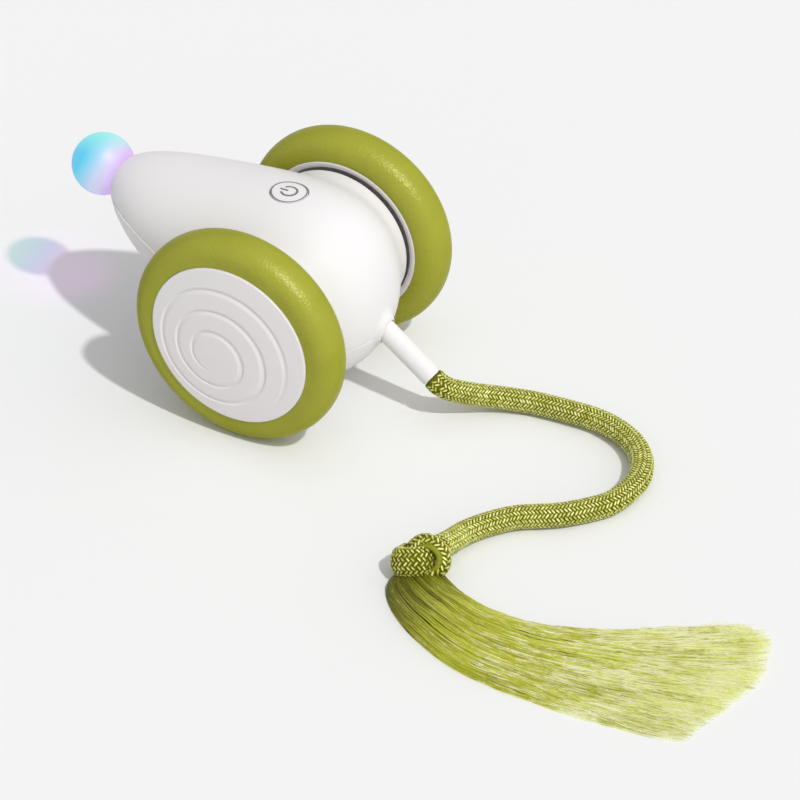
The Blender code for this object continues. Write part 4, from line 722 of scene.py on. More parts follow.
def swept(name: str, line: np.ndarray, half_widths: Sequence[tuple[float, float]], sides: int,
          finish: bpy.types.Material, lean: Sequence[float] | None = None) -> bpy.types.Object:
    """A tube along a line with an oval section, whose ends close to points.

    Args:
        name: The object's name.
        line: The line's points.
        half_widths: Each section's half widths along the first and second normals.
        sides: How many faces go round.
        finish: The material.
        lean: The way that the second normal keeps to, where it matters.

    Returns:
        The object.
    """
    _, firsts, seconds = led_frames(line, lean)
    angles = np.linspace(0.0, 2 * math.pi, sides, endpoint=False)
    rows = [np.repeat(line[:1], sides, axis=0)]
    for index, (wide, high) in enumerate(half_widths):
        rows.append(line[index] + np.outer(np.cos(angles) * wide, firsts[index])
                    + np.outer(np.sin(angles) * high, seconds[index]))
    rows.append(np.repeat(line[-1:], sides, axis=0))
    faces = grid_faces(len(rows), sides, False, True)
    return mesh_object(name, np.concatenate(rows), faces, finish)


def baked(item: bpy.types.Object) -> bpy.types.Object:
    """The object with its modifiers applied to its mesh."""
    evaluated = item.evaluated_get(bpy.context.evaluated_depsgraph_get())
    mesh = bpy.data.meshes.new_from_object(evaluated)
    item.modifiers.clear()
    item.data = mesh
    return item


def cut(target: bpy.types.Object, cutter: bpy.types.Object,
        operation: str = "DIFFERENCE") -> bpy.types.Object:
    """The target with the cutter's shape taken out of it, or put to it."""
    modifier = target.modifiers.new("cut", "BOOLEAN")
    modifier.operation = operation
    modifier.solver = "EXACT"
    modifier.object = cutter
    baked(target)
    bpy.data.objects.remove(cutter)
    return target


def joined(items: Sequence[bpy.types.Object]) -> bpy.types.Object:
    """Several mesh objects as one, which keeps the first one's name."""
    with bpy.context.temp_override(active_object=items[0],
                                   selected_editable_objects=list(items)):
        bpy.ops.object.join()
    return items[0]


def settle(item: bpy.types.Object, body: str, slot: Slot, *nodes: str) -> None:
    """Give a finished piece its body, and hide the nodes that it stands for.

    Args:
        item: The piece.
        body: The body that it rides on.
        slot: The record's slot that its finish follows; not used.
        *nodes: The nodes that it replaces.
    """
    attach(item, body)
    if nodes:
        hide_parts(*nodes)
    LOG.info("%s rides on %s with %d faces", item.name, body, len(item.data.polygons))


class NodeTool:
    """A Geometry Nodes tree with named inputs, and the modifier that runs it."""

    def __init__(self, name: str, inputs: Sequence[tuple[str, str]]) -> None:
        """Start the tree.

        Args:
            name: The tree's name.
            inputs: The name and socket type of each input after the geometry.
        """
        self.tree = bpy.data.node_groups.new(name, "GeometryNodeTree")
        face = self.tree.interface
        face.new_socket(name="Geometry", in_out="INPUT", socket_type="NodeSocketGeometry")
        self.keys = {}
        for label, kind in inputs:
            socket = face.new_socket(name=label, in_out="INPUT", socket_type=kind)
            self.keys[label] = socket.identifier
        face.new_socket(name="Geometry", in_out="OUTPUT", socket_type="NodeSocketGeometry")
        self.shader = Shader(self.tree)
        self.entry = self.shader.add("NodeGroupInput")
        self.leave = self.shader.add("NodeGroupOutput")

    def given(self, label: str) -> bpy.types.NodeSocket:
        """An input's socket inside the tree."""
        return self.entry.outputs[label]

    def named(self, label: str, kind: str = "FLOAT") -> bpy.types.NodeSocket:
        """A named attribute's value inside the tree."""
        node = self.shader.add("GeometryNodeInputNamedAttribute", {"data_type": kind},
                               Name=label)
        return node.outputs[0]

    def finish(self, geometry: bpy.types.NodeSocket) -> None:
        """End the tree in Realize Instances, Set Shade Smooth and Set Material."""
        real = self.shader.add("GeometryNodeRealizeInstances", Geometry=geometry)
        smooth = self.shader.add("GeometryNodeSetShadeSmooth", Geometry=real.outputs[0])
        dressed = self.shader.add("GeometryNodeSetMaterial", Geometry=smooth.outputs[0],
                                  Material=self.given("Material"))
        self.shader.feed(self.leave, "Geometry", dressed.outputs[0])

    def run(self, item: bpy.types.Object, **values: object) -> bpy.types.Object:
        """Run the tree on an object and keep the result as a plain mesh."""
        modifier = item.modifiers.new(self.tree.name, "NODES")
        modifier.node_group = self.tree
        for label, value in values.items():
            modifier[self.keys[label]] = value
        return baked(item)


def point_cloud(name: str, points: np.ndarray, edges: Sequence[tuple[int, int]],
                attributes: dict[str, np.ndarray]) -> bpy.types.Object:
    """A mesh of bare points and edges with attributes on its points."""
    mesh = bpy.data.meshes.new(name)
    mesh.vertices.add(len(points))
    mesh.vertices.foreach_set("co", points.astype(np.float32).ravel())
    if len(edges):
        mesh.edges.add(len(edges))
        mesh.edges.foreach_set("vertices", np.array(edges, dtype=np.int32).ravel())
    for label, values in attributes.items():
        kind = "FLOAT_VECTOR" if values.ndim == 2 else "FLOAT"
        key = "vector" if values.ndim == 2 else "value"
        layer = mesh.attributes.new(label, kind, "POINT")
        layer.data.foreach_set(key, values.astype(np.float32).ravel())
    return placed(name, mesh)


def stitch_tool() -> NodeTool:
    """The tree that lays a bead of yarn on each point of a braid."""
    tool = NodeTool("lay_stitches", (("Length", "NodeSocketFloat"), ("Width", "NodeSocketFloat"),
                                     ("Height", "NodeSocketFloat"), ("Sides", "NodeSocketInt"),
                                     ("Rings", "NodeSocketInt"),
                                     ("Material", "NodeSocketMaterial")))
    shader = tool.shader
    ball = shader.add("GeometryNodeMeshUVSphere", Segments=tool.given("Sides"),
                      Rings=tool.given("Rings"), Radius=0.5)
    place = shader.add("GeometryNodeInputPosition")
    marked = shader.add("GeometryNodeStoreNamedAttribute",
                        {"data_type": "FLOAT_VECTOR", "domain": "POINT"},
                        Geometry=ball.outputs["Mesh"], Name="thread",
                        Value=place.outputs[0])
    size = shader.add("ShaderNodeCombineXYZ", X=tool.given("Height"), Y=tool.given("Width"),
                      Z=tool.given("Length"))
    bead = shader.add("GeometryNodeTransform", Geometry=marked.outputs[0],
                      Scale=size.outputs[0])
    turn = shader.add("FunctionNodeAxesToRotation",
                      {"primary_axis": "Z", "secondary_axis": "X"},
                      Primary_Axis=tool.named("way", "FLOAT_VECTOR"),
                      Secondary_Axis=tool.named("out", "FLOAT_VECTOR"))
    laid = shader.add("GeometryNodeInstanceOnPoints", Points=tool.given("Geometry"),
                      Instance=bead.outputs[0], Rotation=turn.outputs[0],
                      Scale=tool.named("size"))
    tool.finish(laid.outputs[0])
    return tool


def strand_tool() -> NodeTool:
    """The tree that gives each chain of edges the thickness of a fibre."""
    tool = NodeTool("draw_strands", (("Sides", "NodeSocketInt"),
                                     ("Material", "NodeSocketMaterial")))
    shader = tool.shader
    curves = shader.add("GeometryNodeMeshToCurve", Mesh=tool.given("Geometry"))
    section = shader.add("GeometryNodeCurvePrimitiveCircle", Resolution=tool.given("Sides"),
                         Radius=1.0)
    solid = shader.add("GeometryNodeCurveToMesh", Curve=curves.outputs[0],
                       Profile_Curve=section.outputs[0], Scale=tool.named("thick"),
                       Fill_Caps=True)
    tool.finish(solid.outputs[0])
    return tool


# Body
@dataclass
class Teardrop:
    """The body's outer form: a teardrop from tail to nose, and a round boss to each side."""

    rear_reach: float = 0.02674
    nose_reach: float = 0.05556
    rear_drop: float = 0.00186
    nose_rise: float = 0.01543
    half_width: float = 0.0253
    crown: float = 0.0270
    belly: float = 0.0232
    width_shares: tuple = (3.009, 1.883, 1.516, 1.487)
    crown_shares: tuple = (2.941, 1.524, 0.997, 1.317)
    belly_shares: tuple = (2.976, 2.419, 1.972, 1.919)
    boss_radius: float = 0.0209
    boss_end: float = 0.0223
    blend: float = 0.0034
    tail_root: tuple = TAIL_ROOT
    tail_slope: float = TAIL_SLOPE
    flare_height: float = 0.0014
    flare_inner: float = 0.0032
    flare_outer: float = 0.0062

    def sections(self, along: np.ndarray) -> tuple:
        """The teardrop's middle height, half width, crown and belly along its length."""
        share = np.clip(along, 0.0, 1.0)
        swell = np.sqrt(share * (1 - share))

        def curve(shares: tuple) -> np.ndarray:
            """A Bernstein curve through the shares."""
            order = len(shares) - 1
            return sum(math.comb(order, index) * share ** index * (1 - share) ** (order - index)
                       * value for index, value in enumerate(shares))

        middle = (self.nose_rise + self.rear_drop) * share - self.rear_drop
        tiny = MERGE * 0.01
        return (middle, self.half_width * swell * curve(self.width_shares) + tiny,
                self.crown * swell * curve(self.crown_shares) + tiny,
                self.belly * swell * curve(self.belly_shares) + tiny)

    def holds(self, ahead: np.ndarray, side: np.ndarray, rise: np.ndarray) -> np.ndarray:
        """Whether points lie inside the teardrop."""
        length = self.rear_reach + self.nose_reach
        along = (ahead + self.rear_reach) / length
        middle, wide, crown, belly = self.sections(along)
        above = rise - middle
        high = np.where(above > 0, crown, belly)
        inside = (side / wide) ** 2 + (above / high) ** 2 < 1
        return inside & (along > 0) & (along < 1)

    def reach(self, angle: np.ndarray, side: np.ndarray) -> np.ndarray:
        """How far the body's surface is from the axle's line.

        Args:
            angle: The angle about the axle, from straight ahead upwards.
            side: The distance from the middle plane.

        Returns:
            The radius at each angle and distance.
        """
        low = np.zeros(np.broadcast(angle, side).shape)
        high = low + self.rear_reach + self.nose_reach
        for _ in range(40):
            middle = (low + high) / 2
            inside = self.holds(middle * np.cos(angle), side, middle * np.sin(angle))
            low = np.where(inside, middle, low)
            high = np.where(inside, high, middle)
        near = np.maximum(self.blend - np.abs(low - self.boss_radius), 0.0) / self.blend
        radius = np.maximum(low, self.boss_radius) + near ** 3 * self.blend / 6
        return self.with_flare(angle, side, radius)

    def with_flare(self, angle: np.ndarray, side: np.ndarray, radius: np.ndarray) -> np.ndarray:
        """The radius with the soft flare that the tail tube comes out of."""
        ahead = radius * np.cos(angle) - self.tail_root[0]
        rise = radius * np.sin(angle) - self.tail_root[1]
        off = ahead * -math.sin(self.tail_slope) + rise * math.cos(self.tail_slope)
        away = np.sqrt(off ** 2 + side ** 2)
        share = np.clip((self.flare_outer - away) / (self.flare_outer - self.flare_inner), 0, 1)
        behind = np.cos(angle) < 0
        return radius + np.where(behind, self.flare_height * share ** 3, 0.0)

    def bottom(self, ahead: float, side: float) -> float:
        """The height of the body's lower surface above the axle."""
        along = (ahead + self.rear_reach) / (self.rear_reach + self.nose_reach)
        middle, wide, _, belly = self.sections(np.array(along))
        return float(middle - belly * math.sqrt(max(1 - (side / float(wide)) ** 2, 0.0)))

    def top(self, ahead: np.ndarray, side: np.ndarray) -> np.ndarray:
        """The height of the body's upper surface above the axle."""
        along = (ahead + self.rear_reach) / (self.rear_reach + self.nose_reach)
        middle, wide, crown, _ = self.sections(along)
        return middle + crown * np.sqrt(np.maximum(1 - (side / wide) ** 2, 0.0))


@dataclass
class Shells:
    """The two body shells, which meet on a tilted seam."""

    form: Teardrop
    wall: float = 0.0018
    seam_tilt: float = math.radians(15.9)
    seam_gap: float = 0.00014
    seam_rounds: tuple = (0.00010, 0.00026)
    ledges: tuple = (0.0, 0.00085)
    ledge_reach: float = 0.0050
    ledge_front: float = 0.0520
    corner_round: float = 0.0004
    bush_hole: float = 0.0033
    rows: int = 150
    edge_rows: int = 4
    side_columns: int = 104
    inner_columns: int = 30
    corner_columns: int = 5
    button_hole: float = 0.0052
    button_ahead: float = 0.0015
    tube_hole: float = 0.0032
    globe_room: float = 0.0003
    window: tuple = ((0.0201, 0.0239), 0.00475)
    land: tuple = (0.0070, -0.0040, -0.0240, -0.0208)
    posts: tuple = ((0.0370, 0.0), (-0.0190, 0.0130), (-0.0190, -0.0130))
    post_radius: float = 0.0024
    well_radius: float = 0.0018
    seat_drop: float = 0.0040
    well_start: float = -0.040
    window_cut: tuple = (-0.030, -0.0125)
    tube_cut: tuple = (-0.010, 0.020)
    button_cut: tuple = (0.020, 0.040)
    boss_face_ring: float = 0.012
    inner_face_ring: float = 0.010
    least_inner: float = 0.0110
    slope_step: float = 0.0002

    def columns(self) -> list[tuple[float, float, float]]:
        """Each column of the wall's section: its side, and how its radius is found.

        Returns:
            Side, share of the outer radius that counts, and what is taken from it or its own
            radius where the share is nought.
        """
        end = self.form.boss_end
        corner = self.corner_round
        made = []
        for index in range(self.side_columns + 1):
            share = index / self.side_columns
            made.append(((end - corner) * (1 - 2 * share), 1.0, 0.0))
        turns = [math.pi / 2 * index / self.corner_columns
                 for index in range(1, self.corner_columns + 1)]
        for turn in turns:
            made.append((-end + corner - corner * math.sin(turn), 1.0,
                         corner * (1 - math.cos(turn))))
        inner = end - self.wall
        faces = [(end, self.boss_face_ring), (end, self.bush_hole), (inner, self.bush_hole),
                 (inner, self.inner_face_ring)]
        made += [(-side, 0.0, radius) for side, radius in faces]
        for index in range(self.inner_columns + 1):
            share = index / self.inner_columns
            made.append((-inner * (1 - 2 * share), 1.0, -1.0))
        made += [(side, 0.0, radius) for side, radius in reversed(faces)]
        for turn in reversed(turns):
            made.append((end - corner + corner * math.sin(turn), 1.0,
                         corner * (1 - math.cos(turn))))
        return made

    def inner_reach(self, angle: np.ndarray, side: np.ndarray) -> np.ndarray:
        """The radius of the wall's inner face."""
        step = self.slope_step
        outer = self.form.reach(angle, side)
        along = (self.form.reach(angle, side + step) - outer) / step
        round_ = (self.form.reach(angle + step / 0.03, side) - outer) / (step / 0.03) / outer
        slope = np.sqrt(1 + along ** 2 + round_ ** 2)
        return np.maximum(outer - self.wall * np.minimum(slope, 3.0), self.least_inner)

    def half(self, name: str, start: float, lower: int,
             finish: bpy.types.Material) -> bpy.types.Object:
        """One shell.

        Args:
            name: The object's name.
            start: The angle of the seam at which it starts.
            lower: 1 for the lower shell, whose edge stands a little proud, else 0.
            finish: Its material.

        Returns:
            The object.
        """
        columns = self.columns()
        side = np.array([column[0] for column in columns])[None, :]
        counts = np.array([column[1] for column in columns])[None, :]
        taken = np.array([column[2] for column in columns])[None, :]
        seam_round = self.seam_rounds[lower]
        ledge = self.ledges[lower]

        def radius(angle: np.ndarray, inset: float) -> np.ndarray:
            """Each column's radius at an angle, drawn in by the edge's rounding."""
            outer = self.form.reach(angle, side + 0.0 * angle)
            inner = self.inner_reach(angle, side + 0.0 * angle)
            away = np.abs(outer * np.sin(angle - start))
            ahead = outer * np.cos(angle)
            proud = ledge * np.clip(0.15 + ahead / 0.008, 0.0, 1.0)
            proud = proud * np.clip((self.ledge_front - ahead) / 0.006, 0.0, 1.0)
            outer = outer + proud * np.clip(1 - away / self.ledge_reach, 0.0, 1.0) ** 2
            own = np.where(taken < 0, inner, outer - taken)
            made = np.where(counts > 0, own, taken)
            return made - np.where((counts > 0) & (taken >= 0), inset, 0.0)

        rows = []
        base = np.zeros_like(side) + start
        for index in range(self.edge_rows):
            turn = math.pi / 2 * index / self.edge_rows
            away = self.seam_gap / 2 + seam_round * (1 - math.cos(turn))
            inset = seam_round * (1 - math.sin(turn))
            rows.append(("first", away, inset))
        whole = self.seam_gap / 2 + seam_round
        rows += [("middle", index / self.rows, 0.0) for index in range(self.rows + 1)]
        rows += [("last", away, inset) for _, away, inset in reversed(rows[:self.edge_rows])]
        points = []
        first_radius = radius(base, 0.0)
        last_radius = radius(base + math.pi, 0.0)
        first_edge = base + np.arcsin(whole / first_radius)
        last_edge = base + math.pi - np.arcsin(whole / last_radius)
        for kind, amount, inset in rows:
            if kind == "first":
                angle = base + np.arcsin(amount / first_radius)
            elif kind == "last":
                angle = base + math.pi - np.arcsin(amount / last_radius)
            else:
                angle = first_edge + (last_edge - first_edge) * amount
            reach = radius(angle, inset)
            row = np.stack([AXLE.x + reach * np.cos(angle), side + 0.0 * angle,
                            AXLE.z + reach * np.sin(angle)], axis=-1)[0]
            points.append(row)
        count = len(columns)
        faces = grid_faces(len(points), count, False, True)
        for first in (0, (len(points) - 1) * count):
            faces.append(tuple(range(first, first + count)))
        return mesh_object(name, np.concatenate(points), faces, finish, math.radians(50.0))

    def finish_underside(self, shell: bpy.types.Object) -> None:
        """Add the flat land and the screw posts, and cut the socket window and the wells."""
        radius, ahead, low, high = self.land
        cut(shell, rod("land", radius, low, high, 64, from_axle(ahead, 0.0, 0.0)), "UNION")
        for ahead, side in self.posts:
            seat = ahead * math.tan(self.seam_tilt) - self.seat_drop
            around = [self.form.bottom(ahead + self.post_radius * math.cos(angle),
                                       side + self.post_radius * math.sin(angle))
                      for angle in np.linspace(0.0, 2 * math.pi, 16)]
            start = max(around) + self.wall / 4
            place = from_axle(ahead, side, 0.0)
            cut(shell, rod("post", self.post_radius, start, seat + self.wall, 32, place), "UNION")
            cut(shell, rod("well", self.well_radius, self.well_start, seat, 32, place))
        (back, front), half = self.window
        corners = [from_axle(ahead, side, rise) for rise in self.window_cut
                   for side in (-half, half) for ahead in (back, front)]
        faces = [(0, 2, 3, 1), (4, 5, 7, 6), (0, 1, 5, 4), (2, 6, 7, 3), (0, 4, 6, 2),
                 (1, 3, 7, 5)]
        cut(shell, mesh_object("socket_window", corners, faces))

    def make(self, nose: "Nose", tail: "Tail") -> None:
        """Both shells, cut for the button, the globe, the tail tube and the socket."""
        finish = SHELL_FINISH.make()
        for lower, name in enumerate(("top_shell", "bottom_shell")):
            start = self.seam_tilt + lower * math.pi
            shell = self.half(f"{name}_skin", start, lower, finish)
            globe = turned("globe_room", nose.ball_profile(self.globe_room), 96,
                           nose.centre(), nose.way(), closed=False)
            cut(shell, globe)
            cut(shell, rod("tube_room", self.tube_hole, *self.tube_cut, 64, tail.root(),
                           tail.way()))
            if name == "top_shell":
                cut(shell, rod("button_room", self.button_hole, *self.button_cut, 96,
                               from_axle(self.button_ahead, 0.0, 0.0)))
            else:
                self.finish_underside(shell)
            shell.data.shade_smooth()
            shell.data.set_sharp_from_angle(angle=math.radians(40.0))
            settle(shell, "chassis", Slot.SHELL, name)


@dataclass
class Nose:
    """The lit globe at the front."""

    radius: float = 0.00842
    ahead: float = 0.0593
    rise: float = 0.01824
    pitch: float = math.radians(22.0)
    neck_radius: float = 0.0036
    neck_end: float = 0.0125
    sides: int = 96
    rings: int = 56

    def centre(self) -> Vector:
        """The globe's centre."""
        return from_axle(self.ahead, 0.0, self.rise)

    def way(self) -> Vector:
        """The way that the globe looks."""
        return Vector((math.cos(self.pitch), 0.0, math.sin(self.pitch)))

    def ball_profile(self, grow: float) -> list[tuple[float, float]]:
        """The ball and its neck in section, grown by a gap."""
        radius = self.radius + grow
        neck = self.neck_radius + grow
        last = math.pi - math.asin(neck / radius)
        made = [(radius * math.sin(last * index / self.rings),
                 radius * math.cos(last * index / self.rings)) for index in range(self.rings + 1)]
        made[0] = (0.0, radius)
        return made + [(neck, -self.neck_end), (0.0, -self.neck_end)]

    def make(self) -> None:
        """The globe with its neck."""
        globe = turned("frosted_globe", self.ball_profile(0.0), self.sides, self.centre(),
                       self.way(), globe_finish(self).make(), closed=False)
        settle(globe, "chassis", Slot.GLOBE, "nose_globe")


@dataclass
class Button:
    """The round power button in the top of the body, with a plain mark on it."""

    form: Teardrop
    radius: float = 0.0049
    ahead: float = 0.0015
    flange_radius: float = 0.0060
    flange_top: float = 0.0236
    flange_bottom: float = 0.0228
    edge_round: float = 0.00006
    mark_radius: float = 0.0021
    mark_width: float = 0.00062
    mark_height: float = 0.00004
    mark_gap: float = math.radians(34.0)
    border: tuple = (0.00449, 0.00484)
    sides: int = 96
    rings: int = 16
    edge_rings: int = 5
    border_sides: int = 120
    mark_points: int = 60
    bar_points: int = 12
    bar_shares: tuple = (0.15, 1.25)

    def surface(self, radius: np.ndarray, angle: np.ndarray, lift: float) -> np.ndarray:
        """Points on the cap's upper face."""
        ahead = self.ahead + radius * np.cos(angle)
        side = radius * np.sin(angle)
        rise = self.form.top(ahead, side) + lift
        return np.stack([AXLE.x + ahead, side, AXLE.z + rise], axis=-1)

    def make(self) -> None:
        """The cap and its mark."""
        angles = np.linspace(0.0, 2 * math.pi, self.sides, endpoint=False)
        rows = []
        inner = self.radius - self.edge_round
        for index in range(self.rings + 1):
            rows.append(self.surface(np.full(self.sides, inner * index / self.rings), angles,
                                     0.0))
        for index in range(1, self.edge_rings + 1):
            turn = math.pi / 2 * index / self.edge_rings
            reach = inner + self.edge_round * math.sin(turn)
            rows.append(self.surface(np.full(self.sides, reach), angles,
                                     -self.edge_round * (1 - math.cos(turn))))
        for reach, rise in ((self.radius, self.flange_top), (self.flange_radius, self.flange_top),
                            (self.flange_radius, self.flange_bottom),
                            (0.0, self.flange_bottom)):
            rows.append(np.stack([AXLE.x + self.ahead + reach * np.cos(angles),
                                  reach * np.sin(angles),
                                  np.full(self.sides, AXLE.z + rise)], axis=-1))
        cap = mesh_object("button_cap", np.concatenate(rows),
                          grid_faces(len(rows), self.sides, False, True), SHELL_FINISH.make())
        settle(cap, "button", Slot.SHELL, "power_button")
        mark = joined([self.mark_ring(), self.mark_bar(), self.mark_border()])
        settle(mark, "button", Slot.SHELL)

    def strip(self, name: str, radius: np.ndarray, angle: np.ndarray, closed: bool
              ) -> bpy.types.Object:
        """A thin raised strip between two lines on the cap's upper face."""
        high = self.mark_height
        rows = [self.surface(radius[edge], angle[edge], lift)
                for edge, lift in ((0, -high), (0, high), (1, high), (1, -high))]
        grid = np.stack(rows, axis=1).reshape(-1, 3)
        count = len(radius[0])
        faces = grid_faces(count, 4, closed, True)
        if not closed:
            faces += [(0, 1, 2, 3), tuple(4 * (count - 1) + index for index in range(4))]
        return mesh_object(name, grid, faces, MARK_FINISH.make())

    def mark_ring(self) -> bpy.types.Object:
        """The open ring of the mark."""
        angle = np.linspace(self.mark_gap, 2 * math.pi - self.mark_gap, self.mark_points)
        half = self.mark_width / 2
        radius = np.full(self.mark_points, self.mark_radius)
        return self.strip("button_mark", np.stack([radius - half, radius + half]),
                          np.stack([angle, angle]), False)

    def mark_border(self) -> bpy.types.Object:
        """The printed line round the cap."""
        angle = np.linspace(0.0, 2 * math.pi, self.border_sides, endpoint=False)
        radius = np.stack([np.full(self.border_sides, reach) for reach in self.border])
        return self.strip("mark_border", radius, np.stack([angle, angle]), True)

    def mark_bar(self) -> bpy.types.Object:
        """The short bar of the mark."""
        start, end = self.bar_shares
        ahead = np.linspace(self.mark_radius * start, self.mark_radius * end, self.bar_points)
        half = self.mark_width / 2
        radius = np.stack([np.hypot(ahead, half)] * 2)
        angle = np.stack([np.arctan2(-half, ahead), np.arctan2(half, ahead)])
        return self.strip("mark_bar", radius, angle, False)


# Wheels
@dataclass
class Wheel:
    """A wheel: a soft tyre, a moulded hub and a hubcap with a spiral in it."""

    radius: float = 0.030
    middle: float = 0.0286
    tyre_depth: float = 0.0050
    tyre_half_width: float = 0.0058
    tyre_roundness: float = 2.25
    rim: float = 0.02275
    groove: float = 0.0009
    lip: float = 0.0008
    inner_edge: float = 0.0229
    outer_edge: float = 0.0333
    bore: float = 0.0209
    mouth_slope: float = 0.0006
    web_outer: float = 0.0319
    web_thickness: float = 0.0015
    boss_radius: float = 0.0040
    boss_start: float = 0.0234
    axle_bore: float = 0.0018
    screw_bore: float = 0.0011
    gap: float = 0.0003
    lip_gap: float = 0.0001
    side_fullness: float = 0.2
    cap_edge: float = 0.0348
    cap_thickness: float = 0.0012
    cap_dome: float = 0.0011
    clip_radius: float = 0.0188
    clip_wall: float = 0.0010
    spiral_base: float = 0.00594
    spiral_pitch: float = 0.00557
    spiral_start: float = 0.0044
    spiral_end: float = 0.0203
    spiral_fade: float = 0.0014
    spiral_depth: float = 0.00050
    spiral_shift: tuple = (0.0056, -0.0048)
    spiral_shift_end: float = 0.0324
    inner_share: float = 0.23
    outer_share: float = 0.10
    sides: int = 192
    cap_sides: int = 288
    cap_rings: int = 176
    cap_round: float = 0.0003
    cap_round_rings: int = 5
    hub_round: float = 0.00035
    tyre_points: int = 44
    spiral_rounds: int = 14

    def spiral(self, ahead: np.ndarray, up: np.ndarray) -> np.ndarray:
        """Depth of the spiral groove at places given from the wheel's axis."""
        radius = np.hypot(ahead, up)
        for _ in range(self.spiral_rounds):
            shift = 1 - radius / self.spiral_shift_end
            across = ahead - self.spiral_shift[0] * shift
            above = up - self.spiral_shift[1] * shift
            radius = np.hypot(across, above)
        turns = (radius - self.spiral_base) / self.spiral_pitch
        turns = turns - np.arctan2(above, across) / (2 * math.pi)
        share = turns - np.round(turns)
        slope = np.where(share > 0, self.outer_share, self.inner_share)
        ease = np.minimum(radius - self.spiral_start, self.spiral_end - radius)
        ease = np.clip(ease / self.spiral_fade, 0.0, 1.0)
        wave = 1 - np.clip(np.abs(share) / slope, 0.0, 1.0)
        wave = wave * (0.55 + 0.45 * wave * (3 - 2 * wave))
        return self.spiral_depth * ease ** 2 * (3 - 2 * ease) * wave

    def tyre_profile(self) -> list[tuple[float, float]]:
        """The tyre in section: a rounded outside and a rib in the rim's groove."""
        middle = self.radius - self.tyre_depth
        bore = self.rim + self.lip_gap
        rib = self.rim - self.groove + self.gap
        low = math.asin(((middle - bore) / self.tyre_depth) ** (self.tyre_roundness / 2))
        made = []
        for index in range(self.tyre_points + 1):
            angle = -low + (math.pi + 2 * low) * index / self.tyre_points
            across = abs(math.cos(angle)) ** (2 / self.tyre_roundness)
            if math.sin(angle) < 0 < math.cos(angle):
                across = 1 - (1 - across) * self.side_fullness
            up = abs(math.sin(angle)) ** (2 / self.tyre_roundness)
            made.append((middle + self.tyre_depth * math.copysign(up, math.sin(angle)),
                         self.middle + self.tyre_half_width
                         * math.copysign(across, math.cos(angle))))
        inner = self.inner_edge + self.lip + self.gap
        outer = self.outer_edge - self.lip - self.gap
        return made + [(bore, inner), (rib, inner), (rib, outer), (bore, outer)]

    def hub_profile(self) -> list[tuple[float, float]]:
        """The hub in section: rim, web and the boss that takes the axle."""
        groove = self.rim - self.groove
        web_inner = self.web_outer - self.web_thickness
        axle_end = web_inner + self.gap
        corners = ((self.rim, self.inner_edge), (self.rim, self.inner_edge + self.lip),
                   (groove, self.inner_edge + self.lip), (groove, self.outer_edge - self.lip),
                   (self.rim, self.outer_edge - self.lip), (self.rim, self.outer_edge),
                   (self.bore, self.outer_edge), (self.bore, self.web_outer),
                   (self.screw_bore, self.web_outer), (self.screw_bore, axle_end),
                   (self.axle_bore, axle_end), (self.axle_bore, self.boss_start),
                   (self.boss_radius, self.boss_start), (self.boss_radius, web_inner),
                   (self.bore, web_inner), (self.bore, self.inner_edge + self.mouth_slope))
        return rounded(corners, self.hub_round)

    def cap(self, side: int, finish: bpy.types.Material, name: str) -> bpy.types.Object:
        """The hubcap, with its clip ring behind it."""
        back = self.cap_edge - self.cap_thickness
        edge = self.cap_round
        angles = np.linspace(0.0, 2 * math.pi, self.cap_sides, endpoint=False)
        rows = []

        def ring(radius: float, out: float | np.ndarray) -> None:
            """Add a ring of points, so far from the body's middle plane."""
            rows.append(np.stack([AXLE.x + radius * np.cos(angles),
                                  side * (out + 0.0 * angles),
                                  AXLE.z + radius * np.sin(angles)], axis=-1))

        for index in range(self.cap_rings + 1):
            radius = (self.rim - edge) * index / self.cap_rings
            dome = self.cap_dome * (1 - (radius / self.rim) ** 2)
            ahead = radius * np.cos(angles)
            up = radius * np.sin(angles)
            ring(radius, self.cap_edge + dome - self.spiral(ahead, up))
        for index in range(1, self.cap_round_rings + 1):
            turn = math.pi / 2 * index / self.cap_round_rings
            ring(self.rim - edge + edge * math.sin(turn),
                 self.cap_edge - edge * (1 - math.cos(turn)))
        inner = self.clip_radius - self.clip_wall
        end = self.web_outer + self.gap
        for radius, out in ((self.rim, back), (self.clip_radius, back), (self.clip_radius, end),
                            (inner, end), (inner, back), (0.0, back)):
            ring(radius, out)
        return mesh_object(name, np.concatenate(rows),
                           grid_faces(len(rows), self.cap_sides, False, True), finish)

    def make(self) -> None:
        """Both wheels."""
        tyre_finish = TYRE_FINISH.make()
        hub_finish = HUB_FINISH.make()
        for label, side in SIDES:
            body = f"{label}_wheel"
            along = Vector((0.0, float(side), 0.0))
            tyre = turned(f"{label}_soft_tyre", self.tyre_profile(), self.sides, AXLE, along,
                          tyre_finish)
            settle(tyre, body, Slot.TYRE, f"{label}_tyre")
            hub = turned(f"{label}_moulded_hub", self.hub_profile(), self.sides, AXLE, along,
                         hub_finish)
            settle(hub, body, Slot.HUB, f"{label}_wheel_hub")
            cap = self.cap(side, hub_finish, f"{label}_spiral_cap")
            settle(cap, body, Slot.HUB, f"{label}_hubcap")


